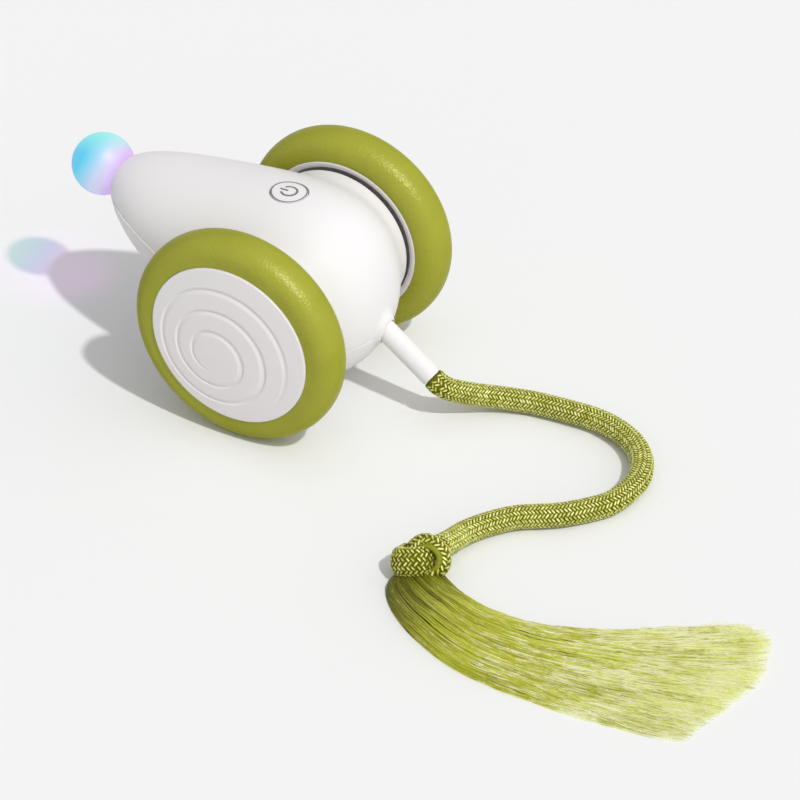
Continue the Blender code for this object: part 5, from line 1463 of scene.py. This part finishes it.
# Tail
CORD_ROUTE = (
    (-0.0427, 0.0000, 0.0107),
    (-0.0445, -0.0012, 0.0091),
    (-0.0484, -0.0050, 0.0066),
    (-0.0517, -0.0082, 0.0050),
    (-0.0551, -0.0106, 0.0041),
    (-0.0599, -0.0128, 0.0034),
    (-0.0652, -0.0142, 0.0032),
    (-0.0764, -0.0151, 0.0032),
    (-0.0823, -0.0150, 0.0032),
    (-0.0879, -0.0136, 0.0032),
    (-0.0927, -0.0113, 0.0032),
    (-0.0969, -0.0078, 0.0032),
    (-0.1000, -0.0032, 0.0032),
    (-0.1018, 0.0025, 0.0032),
    (-0.1017, 0.0078, 0.0032),
    (-0.1006, 0.0130, 0.0032),
    (-0.0981, 0.0177, 0.0032),
    (-0.0907, 0.0254, 0.0032),
    (-0.0823, 0.0309, 0.0032),
    (-0.0786, 0.0347, 0.0032),
    (-0.0753, 0.0393, 0.0033),
    (-0.0731, 0.0442, 0.0036),
    (-0.0721, 0.0492, 0.0042),
    (-0.0712, 0.0528, 0.0049),
)


@dataclass
class Yarn:
    """How the cord is braided."""

    diameter: float = 0.0062
    columns: int = 16
    pitch: float = 0.00100
    slant: float = math.radians(50.0)
    stitch_length: float = 0.00172
    stitch_width: float = 0.00072
    stitch_height: float = 0.00058
    bead_sides: int = 6
    bead_rings: int = 5
    sink: float = 0.42
    core_sink: float = 0.15
    core_sides: int = 20
    size_range: tuple = (0.93, 1.05)
    seed: int = 11

    def column_angles(self, half_widths: Sequence[float], columns: int) -> np.ndarray:
        """The angles at which columns of stitches lie evenly round an oval section."""
        turns = np.linspace(0.0, 2 * math.pi, 361)
        arcs = np.hypot(half_widths[0] * np.sin(turns), half_widths[1] * np.cos(turns))
        arcs = np.cumsum(arcs)
        return np.interp((np.arange(columns) + 0.5) / columns * arcs[-1], arcs, turns)

    def braid(self, name: str, line: np.ndarray, half_widths: np.ndarray, tool: NodeTool,
              core: bpy.types.Material, yarn: bpy.types.Material,
              lean: Sequence[float] | None = None, columns: int | None = None
              ) -> bpy.types.Object:
        """A braided tube along a line, as a core painted dark, painted shade in the gaps between
        the stitches, with its stitches.

        Args:
            name: The object's name.
            line: The line's points, evenly spaced.
            half_widths: The braid's half widths at each point, along the two normals.
            tool: The tree that lays the stitches.
            core: The core's material, dark as painted shade between the stitches.
            yarn: The stitches' material.
            lean: The way that the second normal keeps to, where it matters.
            columns: How many columns of stitches go round, where not the yarn's own number.

        Returns:
            The object.
        """
        columns = columns or self.columns
        tangents, firsts, seconds = led_frames(line, lean)
        steps = np.linalg.norm(np.diff(line, axis=0), axis=1)
        reach = np.concatenate(([0.0], np.cumsum(steps)))
        grown = sum(half_widths[0]) / self.diameter * self.columns / columns
        pitch = self.pitch * grown
        chance = np.random.default_rng(self.seed)
        angles = self.column_angles(half_widths[0], columns)
        points = []
        notes = {"way": [], "out": [], "size": [], "shade": []}
        sunk = self.stitch_height * self.sink
        for row in range(int(reach[-1] / pitch)):
            for column in range(columns):
                at = (row + 0.5 + 0.5 * (column % 2)) * pitch
                if at > reach[-1]:
                    continue
                middle = np.array([np.interp(at, reach, line[:, axis]) for axis in range(3)])
                index = min(int(np.searchsorted(reach, at)), len(line) - 1)
                wide, high = half_widths[index]
                angle = angles[column]
                first, second, along = firsts[index], seconds[index], tangents[index]
                out = first * math.cos(angle) / wide + second * math.sin(angle) / high
                out /= np.linalg.norm(out)
                around = np.cross(along, out)
                slant = self.slant * (1 if column % 2 else -1)
                surface = (first * math.cos(angle) * (wide - sunk)
                           + second * math.sin(angle) * (high - sunk))
                points.append(middle + surface)
                notes["way"].append(along * math.cos(slant) + around * math.sin(slant))
                notes["out"].append(out)
                notes["size"].append(grown * chance.uniform(*self.size_range))
                notes["shade"].append(chance.uniform(0.0, 1.0))
        beads = point_cloud(name, np.array(points), (),
                            {key: np.array(values) for key, values in notes.items()})
        tool.run(beads, Length=self.stitch_length, Width=self.stitch_width,
                 Height=self.stitch_height, Sides=self.bead_sides, Rings=self.bead_rings,
                 Material=yarn)
        deeper = self.stitch_height * self.core_sink
        shrunk = [(wide - sunk - deeper, high - sunk - deeper) for wide, high in half_widths]
        return joined([beads, swept(f"{name}_core", line, shrunk, self.core_sides, core, lean)])


@dataclass
class Knot:
    """The overhand knot at the cord's end, as lobes of the same braid.

    Its lobes are laid out in the plane that a viewer in front of it sees: to the right, up and
    towards them.
    """

    ahead: float = -0.0692
    side: float = 0.0597
    height: float = 0.0063
    right: tuple = (-0.87629, -0.48178, -0.00288)
    upward: tuple = (0.28260, -0.51881, 0.80683)
    towards: tuple = (-0.39021, 0.70620, 0.59078)
    loop: tuple = ((-0.0019, 0.0017, -0.0010), (0.0010, 0.0036, -0.0002),
                   (0.0037, 0.0029, 0.0006), (0.0057, 0.0008, 0.0010),
                   (0.0061, -0.0013, 0.0010), (0.0054, -0.0032, 0.0010),
                   (0.0036, -0.0044, 0.0006), (0.0014, -0.0048, -0.0004))
    loop_section: tuple = (0.0018, 0.0027)
    loop_columns: int = 10
    band: tuple = ((-0.0018, -0.0003, -0.0042), (-0.0044, -0.0016, -0.0030),
                   (-0.0051, -0.0016, -0.0002), (-0.0036, -0.0016, 0.0022),
                   (-0.0010, -0.0015, 0.0030), (0.0010, -0.0014, 0.0022),
                   (0.0017, -0.0013, 0.0004), (0.0017, -0.0012, -0.0016))
    band_section: tuple = (0.0021, 0.0037)
    entry: tuple = ((0.0012, 0.0006, -0.0030), (-0.0016, -0.0004, -0.0038))
    entry_section: tuple = (0.00295, 0.00295)
    lip: tuple = ((0.0006, 0.0020, 0.0016), (0.0026, 0.0021, 0.0026), (0.0044, 0.0006, 0.0030),
                  (0.0048, -0.0012, 0.0030), (0.0040, -0.0032, 0.0026),
                  (0.0022, -0.0044, 0.0016))
    lip_section: tuple = (0.0008, 0.0008)
    lip_sides: int = 12
    step: float = 0.0006
    lip_step: float = 0.0004

    def place(self, spot: Sequence[float]) -> Vector:
        """A spot of the knot's own plane in the row frame."""
        centre = on_floor(self.ahead, self.side, self.height)
        return (centre + Vector(self.right) * spot[0] + Vector(self.upward) * spot[1]
                + Vector(self.towards) * spot[2])

    def line(self, spots: Sequence[Sequence[float]], step: float,
             before: Sequence[Vector] = ()) -> np.ndarray:
        """A smooth, evenly spaced line through spots of the knot's own plane.

        Args:
            spots: The spots.
            step: How far apart the line's points lie.
            before: Points of the row frame that come first.

        Returns:
            The line's points.
        """
        points = list(before) + [self.place(spot) for spot in spots]
        return even_line(smooth_line(points, step / 2), step)


@dataclass
class Tassel:
    """The loose strands that lie on the floor behind the knot."""

    outer: tuple = ((-0.0640, 0.0655), (-0.0654, 0.0698), (-0.0713, 0.0760), (-0.0816, 0.0822),
                    (-0.0948, 0.0866), (-0.1111, 0.0874), (-0.1312, 0.0860), (-0.1524, 0.0822))
    inner: tuple = ((-0.0735, 0.0560), (-0.0763, 0.0586), (-0.0857, 0.0643), (-0.0950, 0.0665),
                    (-0.1097, 0.0635), (-0.1269, 0.0548), (-0.1392, 0.0469))
    ends: tuple = ((-0.1524, 0.0822), (-0.1565, 0.0658), (-0.1588, 0.0520), (-0.1531, 0.0395),
                   (-0.1392, 0.0469))
    strands: int = 2700
    groups: int = 5
    clumps: int = 150
    points: int = 34
    thickness: float = 0.00013
    pile: float = 0.0088
    pile_shares: tuple = (0.30, 0.62, 0.78, 0.62, 0.45, 0.34, 0.22, 0.13, 0.06)
    sides: int = 3
    seed: int = 5
    end_points: int = 101
    clump_spread: float = 0.035
    height_spread: float = 0.2
    shortness: float = 0.05
    phase_spread: float = 0.5
    drift: float = 0.0009
    thickness_range: tuple = (0.75, 1.25)
    side_waves: tuple = ((0.0007, 9.0), (0.0004, 23.0), (0.00016, 88.0))
    swell: tuple = (0.0003, 14.0)
    ripple: tuple = (0.00022, 80.0)
    thinning: tuple = ((0.0, 0.5, 0.85, 1.0), (1.0, 1.0, 0.75, 0.30))

    def edge(self, route: tuple, count: int) -> np.ndarray:
        """One edge of the fan as evenly spaced points on the floor."""
        line = smooth_line([(*spot, 0.0) for spot in route], 0.001)
        rows = even_line(line, 0.0005)
        places = np.linspace(0, len(rows) - 1, count)
        base = np.arange(len(rows))
        return np.stack([np.interp(places, base, rows[:, axis]) for axis in range(2)], axis=1)

    def fan(self) -> tuple[np.ndarray, np.ndarray, np.ndarray]:
        """The fan's outer edge, its inner edge and its ragged end."""
        return (self.edge(self.outer, self.points), self.edge(self.inner, self.points),
                self.edge(self.ends, self.end_points))

    def route(self, fan: tuple, across: float, places: np.ndarray) -> np.ndarray:
        """A strand's route on the floor before it waves.

        Args:
            fan: The fan's two edges and its end.
            across: Where the strand lies between the outer edge, at 0, and the inner one.
            places: How far each point is along the fan, as a share.

        Returns:
            The route's points.
        """
        outer, inner, ends = fan
        base = np.arange(self.points) / (self.points - 1)
        lines = [np.stack([np.interp(places, base, edge[:, axis]) for axis in range(2)], axis=1)
                 for edge in (outer, inner)]
        flat = lines[0] * (1 - across) + lines[1] * across
        last = outer[-1] * (1 - across) + inner[-1] * across
        end = ends[int(round(across * (self.end_points - 1)))]
        return flat + (end - last)[None, :] * (places ** 2)[:, None]

    def strand(self, chance: np.random.Generator, clumps: list[np.ndarray],
               fan: tuple) -> tuple[list[tuple], dict[str, np.ndarray]]:
        """One strand, from the knot to its tip.

        Args:
            chance: Where the random draws come from.
            clumps: Each clump's place across the fan, its height and its wave's phase.
            fan: The fan's two edges and its end.

        Returns:
            The strand's points, and the values that its tool and its finish read at each.
        """
        along = np.linspace(0.0, 1.0, self.points)
        pile = np.interp(along, np.linspace(0, 1, len(self.pile_shares)), self.pile_shares)
        clump = int(chance.integers(self.clumps))
        clump_side, clump_high, clump_wave = [values[clump] for values in clumps]
        across = float(np.clip(clump_side + chance.normal(0.0, self.clump_spread), 0.0, 1.0))
        high = float(np.clip(clump_high + chance.normal(0.0, self.height_spread), 0.0, 1.0))
        places = along * (1.0 - abs(chance.normal(0.0, self.shortness)))
        flat = self.route(fan, across, places)
        way = np.gradient(flat, axis=0)
        way /= np.linalg.norm(way, axis=1)[:, None] + 1e-9
        beside = np.stack([-way[:, 1], way[:, 0]], axis=1)
        phase = clump_wave + chance.normal(0.0, self.phase_spread)
        phases = (phase, chance.uniform(0, 6.28), 2 * phase)
        wave = sum(size * np.sin(along * times + start) * along
                   for (size, times), start in zip(self.side_waves, phases))
        wave = wave + chance.normal(0.0, self.drift) * along ** 2
        flat = flat + beside * wave[:, None]
        bell = math.sqrt(max(0.0, 1 - (2 * across - 1) ** 2))
        rise = self.thickness + self.pile * pile * bell * high
        size, times = self.swell
        rise = rise + size * (1 + np.sin(along * times + phase)) * along * high
        size, times = self.ripple
        rise = rise + size * np.sin(along * times + phase) * along
        rise = np.maximum(rise, self.thickness)
        width = self.thickness * chance.uniform(*self.thickness_range)
        points = [(AXLE.x + spot[0], spot[1], up) for spot, up in zip(flat, rise)]
        return points, {"thick": width * np.interp(along, *self.thinning),
                        "shade": np.full(self.points, chance.uniform(0.0, 1.0)),
                        "along": places,
                        "beside": np.full(self.points, across)}

    def make(self, tool: NodeTool) -> list[bpy.types.Object]:
        """The strands, in a few pieces."""
        finish = TASSEL_FINISH.make()
        chance = np.random.default_rng(self.seed)
        clumps = [chance.uniform(0.0, top, self.clumps) for top in (1.0, 1.0, 2 * math.pi)]
        fan = self.fan()
        pieces = []
        for group in range(self.groups):
            points, edges, notes = [], [], []
            for _ in range(self.strands // self.groups):
                spots, values = self.strand(chance, clumps, fan)
                first = len(points)
                points += spots
                edges += [(first + index, first + index + 1) for index in range(self.points - 1)]
                notes.append(values)
            item = point_cloud(f"tassel_strands_{group + 1}", np.array(points), edges,
                               {key: np.concatenate([values[key] for values in notes])
                                for key in notes[0]})
            pieces.append(tool.run(item, Sides=self.sides, Material=finish))
        return pieces


@dataclass
class Tail:
    """The tube, the braided cord, the knot and the tassel."""

    tube_radius: float = 0.0029
    tube_length: float = 0.0165
    plug: float = 0.0069
    collar: float = 0.0084
    collar_radius: float = 0.0035
    bore: float = 0.0019
    bore_depth: float = 0.0120
    tube_round: float = 0.0003
    gap: float = 0.0003
    line_step: float = 0.002
    yarn: Yarn = field(default_factory=Yarn)
    knot: Knot = field(default_factory=Knot)
    tassel: Tassel = field(default_factory=Tassel)

    def root(self) -> Vector:
        """Where the tube leaves the body."""
        return from_axle(TAIL_ROOT[0], 0.0, TAIL_ROOT[1])

    def way(self) -> Vector:
        """The way that the tube points."""
        return Vector((-math.cos(TAIL_SLOPE), 0.0, -math.sin(TAIL_SLOPE)))

    def make(self) -> None:
        """The tube, then the cord with its knot and tassel."""
        # the core's dark colour is painted shade in the gaps between the stitches
        core = SHADED_CORE_FINISH.make()
        yarn = CORD_FINISH.make()
        stitches = stitch_tool()
        start = self.root() + self.way() * (self.tube_length + self.gap)
        route = [on_floor(*spot) for spot in CORD_ROUTE]
        line = even_line([start] + smooth_line(route, self.line_step), self.line_step)
        half = self.yarn.diameter / 2
        cord = self.yarn.braid("braided_cord", line, np.full((len(line), 2), half), stitches,
                               core, yarn)
        lobes = []
        knot = self.knot
        for name, spots, section, lean, before, columns in (
                ("loop", knot.loop, knot.loop_section, knot.towards, (), knot.loop_columns),
                ("band", knot.band, knot.band_section, knot.upward, (), None),
                ("entry", knot.entry, knot.entry_section, knot.towards, route[-3:], None)):
            path = knot.line(spots, knot.step, before)
            lobes.append(self.yarn.braid(f"knot_{name}", path,
                                         np.tile(section, (len(path), 1)), stitches, core,
                                         yarn, lean, columns))
        path = knot.line(knot.lip, knot.lip_step)
        lobes.append(swept("knot_lip", path, [knot.lip_section] * len(path), knot.lip_sides,
                           LIP_FINISH.make()))
        knot = joined(lobes)
        knot.name = "braided_knot"
        strands = self.tassel.make(strand_tool())
        settle(cord, "chassis", Slot.CORD, "tail_cord")
        settle(knot, "chassis", Slot.CORD, "tail_knot")
        for index, piece in enumerate(strands):
            settle(piece, "chassis", Slot.TASSEL, *(("tail_tassel",) if index == 0 else ()))
        path = [tuple(point) for point in line]
        self.make_tube()

    def make_tube(self) -> None:
        """The moulded sleeve that the cord is fixed in."""
        corners = ((0.0, -self.collar), (self.collar_radius, -self.collar),
                   (self.collar_radius, -self.plug), (self.tube_radius, -self.plug),
                   (self.tube_radius, self.tube_length), (self.bore, self.tube_length),
                   (self.bore, self.tube_length - self.bore_depth),
                   (0.0, self.tube_length - self.bore_depth))
        tube = turned("tail_sleeve", rounded(corners, self.tube_round, closed=False), 96,
                      self.root(), self.way(), SHELL_FINISH.make(), closed=False)
        settle(tube, "chassis", Slot.SHELL, "tail_tube")


# Finishes of this object
SHELL_FINISH = Moulded("satin_white_shell", (0.842, 0.822, 0.825), (0.830, 0.810, 0.813), 0.44,
                       0.05, 2600.0, 0.000008, 45.0, 0.14)
HUB_FINISH = Moulded("satin_white_hub", (0.86, 0.826, 0.830), (0.845, 0.811, 0.815), 0.38, 0.05,
                     2600.0, 0.000010, 60.0, 0.4)
MARK_FINISH = Moulded("grey_print", (0.17, 0.16, 0.16), (0.20, 0.19, 0.19), 0.5, 0.05)
TYRE_FINISH = Moulded("green_silicone", (0.360, 0.370, 0.028), (0.320, 0.330, 0.022), 0.30, 0.05,
                      1500.0, 0.00020, 70.0, 0.75, 0.08, tint=(1.0, 0.98, 0.55))
# the yarn's core is painted dark as painted shade in the gaps between the stitches
SHADED_CORE_FINISH = Moulded("yarn_core", (0.15, 0.153, 0.005), (0.11, 0.112, 0.004), 0.8, 0.1,
                      3000.0, 0.00003, 300.0, 0.1)
LIP_FINISH = Moulded("yarn_lip", (0.31, 0.315, 0.014), (0.25, 0.255, 0.010), 0.5, 0.1,
                     3000.0, 0.00004, 500.0, 0.3)
# the yarn's last colour is its painted glint, and its first is partly painted shade at the stitch
# ends
CORD_FINISH = Braid("green_yarn", (0.27, 0.275, 0.005), (0.43, 0.44, 0.015),
                    (0.95, 0.97, 0.48))
TASSEL_FINISH = Fibre("green_strands", (0.20, 0.202, 0.006), (0.76, 0.78, 0.10),
                      (0.95, 0.98, 0.45))


def globe_finish(nose: Nose) -> LitGlobe:
    """The globe's finish, whose colours run from its far upper side to its near lower one."""
    across = Vector((-0.9002, -0.1578, -0.4059)).normalized() / nose.radius
    above = Vector((0.2826, -0.5188, 0.8068)).normalized() / nose.radius
    stops = ((0.05, (0.10, 0.58, 0.86)), (0.18, (0.08, 0.60, 0.88)), (0.28, (0.18, 0.66, 0.89)),
             (0.38, (0.34, 0.67, 0.91)), (0.50, (0.57, 0.68, 0.92)), (0.66, (0.69, 0.63, 0.92)),
             (0.80, (0.70, 0.50, 0.91)), (0.95, (0.82, 0.36, 0.88)))
    shadow = ((0.0, (0.40, 0.97, 0.86)), (0.25, (0.36, 0.90, 0.92)), (0.5, (0.40, 0.74, 0.97)),
              (0.75, (0.74, 0.60, 0.97)), (1.0, (0.90, 0.50, 0.88)))
    return LitGlobe("frosted_globe", nose.centre(), across, above, stops, shadow)


INNER_FINISHES = {
    Slot.STEEL: Metal("bright_steel", (0.62, 0.62, 0.63), (0.50, 0.50, 0.52)),
    Slot.BRASS: Metal("turned_brass", (0.70, 0.52, 0.24), (0.60, 0.43, 0.18)),
    Slot.CELL: Metal("foil_pouch", (0.58, 0.59, 0.61), (0.50, 0.51, 0.53), 0.35, 300.0, 300.0),
    Slot.NYLON: Moulded("gear_nylon", (0.80, 0.79, 0.74), (0.76, 0.75, 0.70), 0.45),
    Slot.FRAME: Moulded("grey_frame", (0.22, 0.22, 0.23), (0.19, 0.19, 0.20), 0.5, 0.08, 1800.0,
                        0.00003),
    Slot.BOARD: Moulded("green_board", (0.04, 0.20, 0.08), (0.03, 0.16, 0.06), 0.35, 0.05,
                        900.0, 0.00001, 900.0, 0.5, 1.0, 0.3),
    Slot.BLACK: Moulded("black_moulding", (0.03, 0.03, 0.03), (0.045, 0.045, 0.045), 0.5),
    Slot.LENS: Moulded("clear_lens", (0.90, 0.90, 0.75), (0.86, 0.86, 0.72), 0.15),
    Slot.WIRE: Moulded("red_wire", (0.55, 0.03, 0.03), (0.48, 0.025, 0.025), 0.4),
    Slot.SHELL: SHELL_FINISH,
    Slot.HUB: HUB_FINISH,
    Slot.TYRE: TYRE_FINISH,
    Slot.CORD: SHADED_CORE_FINISH,
    Slot.TASSEL: SHADED_CORE_FINISH,
    Slot.GLOBE: SHELL_FINISH,
}


def dress_frame() -> None:
    """Give every carried-over piece of the frame its own finish."""
    slots = {part["node"]: part["material_slot"] for part in frame["record"]["subparts"]}
    made = {}
    for name, item in frame["nodes"].items():
        slot = Slot(slots[name])
        if slot not in made:
            made[slot] = INNER_FINISHES[slot].make()
        item.data.materials.clear()
        item.data.materials.append(made[slot])
        LOG.info("%s is dressed as %s", name, slot.value)


# Studio
@dataclass
class Studio:
    """The camera, the lamp, the surrounding light and the floor."""

    turn: float = math.radians(208.922829)
    height: float = math.radians(36.212327)
    roll: float = math.radians(-0.204280)
    place: tuple = (-0.3506228, 0.5785695, 0.4856035)
    focal: float = 3097.719
    frame_width: float = 800.0
    sensor: float = 36.0
    to_lamp: tuple = (-0.5615, 0.2245, 0.7965)
    lamp_strength: float = 1.67
    lamp_spread: float = math.radians(2.4)
    sky: float = 0.57
    sky_slope: float = 0.50
    glow_spot: tuple = (0.0840, -0.0100, 0.0)
    glow_colour: Colour = (0.85, 0.12, 1.0)
    glow_power: float = 0.009
    glow_cone: float = math.radians(52.0)
    glow_size: float = 0.002
    glow_start: float = 1.1
    backdrop: float = 0.905
    floor_half: float = 4.0
    floor_colour: float = 0.909
    floor_bounce: float = 0.80

    def make_camera(self) -> None:
        """The camera at the photograph's viewpoint."""
        back = Vector((math.sin(self.turn) * math.cos(self.height),
                       -math.cos(self.turn) * math.cos(self.height), math.sin(self.height)))
        right = UP.cross(back).normalized()
        above = back.cross(right)
        turned_right = right * math.cos(self.roll) + above * math.sin(self.roll)
        turned_above = above * math.cos(self.roll) - right * math.sin(self.roll)
        data = bpy.data.cameras.new("camera")
        data.sensor_width = self.sensor
        data.sensor_height = self.sensor
        data.lens = self.focal / self.frame_width * self.sensor
        data.clip_start = 0.01
        camera = placed("camera", data)
        axes = Matrix((turned_right, turned_above, back)).transposed().to_4x4()
        axes.translation = Vector(self.place) + Vector((AXLE.x, 0.0, 0.0))
        camera.matrix_world = axes
        bpy.context.scene.camera = camera

    def make_lights(self) -> None:
        """The lamp and the even light from all round."""
        data = bpy.data.lights.new("lamp", "SUN")
        data.energy = self.lamp_strength
        data.angle = self.lamp_spread
        lamp = placed("lamp", data)
        lamp.matrix_world = Vector(self.to_lamp).to_track_quat("Z", "Y").to_matrix().to_4x4()
        world = bpy.data.worlds.new("studio")
        bpy.context.scene.world = world
        shader = empty_tree(world)
        path = shader.add("ShaderNodeLightPath")
        seen = shader.maths("MAXIMUM", path.outputs["Is Camera Ray"],
                            shader.maths("MAXIMUM", path.outputs["Is Glossy Ray"],
                                         path.outputs["Is Transmission Ray"]))
        place = shader.add("ShaderNodeTexCoord")
        parts = shader.add("ShaderNodeSeparateXYZ", Vector=place.outputs["Generated"])
        sky = shader.maths("MULTIPLY_ADD", parts.outputs["X"], -self.sky * self.sky_slope,
                           self.sky)
        level = shader.maths("MULTIPLY_ADD", seen, shader.maths("SUBTRACT", self.backdrop, sky),
                             sky)
        light = shader.add("ShaderNodeBackground", Color=(*WHITE, 1.0), Strength=level)
        shader.end("ShaderNodeOutputWorld", light.outputs[0])

    def make_glow(self, nose: Nose) -> None:
        """The tinted light that the globe throws down past the nose."""
        way = (on_floor(*self.glow_spot) - nose.centre()).normalized()
        data = bpy.data.lights.new("globe_glow", "SPOT")
        data.energy = self.glow_power
        data.color = self.glow_colour
        data.spot_size = self.glow_cone
        data.spot_blend = 1.0
        data.shadow_soft_size = self.glow_size
        glow = placed("globe_glow", data)
        turn = (-way).to_track_quat("Z", "Y").to_matrix().to_4x4()
        turn.translation = nose.centre() + way * (nose.radius * self.glow_start)
        glow.matrix_world = turn

    def make_floor(self) -> None:
        """The plain pale floor."""
        half = self.floor_half
        mesh = bpy.data.meshes.new("floor")
        mesh.from_pydata([(-half, -half, 0.0), (half, -half, 0.0), (half, half, 0.0),
                          (-half, half, 0.0)], [], [(0, 1, 2, 3)])
        floor = placed("floor", mesh)
        made = bpy.data.materials.new("floor")
        shader = empty_tree(made)
        path = shader.add("ShaderNodeLightPath")
        shade = shader.mix(path.outputs["Is Camera Ray"], (self.floor_bounce,) * 3,
                           (self.floor_colour,) * 3)
        surface = shader.add("ShaderNodeBsdfDiffuse", Color=shade)
        shader.end("ShaderNodeOutputMaterial", surface.outputs[0])
        mesh.materials.append(made)

    def make(self) -> None:
        """The whole studio."""
        self.make_camera()
        self.make_lights()
        self.make_glow(Nose())
        self.make_floor()
        bpy.context.scene.view_settings.view_transform = "Standard"


def main() -> None:
    """Build the studio and every piece."""
    logging.basicConfig(level=logging.INFO, format="%(name)s: %(message)s")
    Studio().make()
    dress_frame()
    tail = Tail()
    tail.make()
    form = Teardrop()
    nose = Nose()
    Shells(form).make(nose, tail)
    nose.make()
    Button(form).make()
    Wheel().make()


if __name__ == "__main__":
    main()
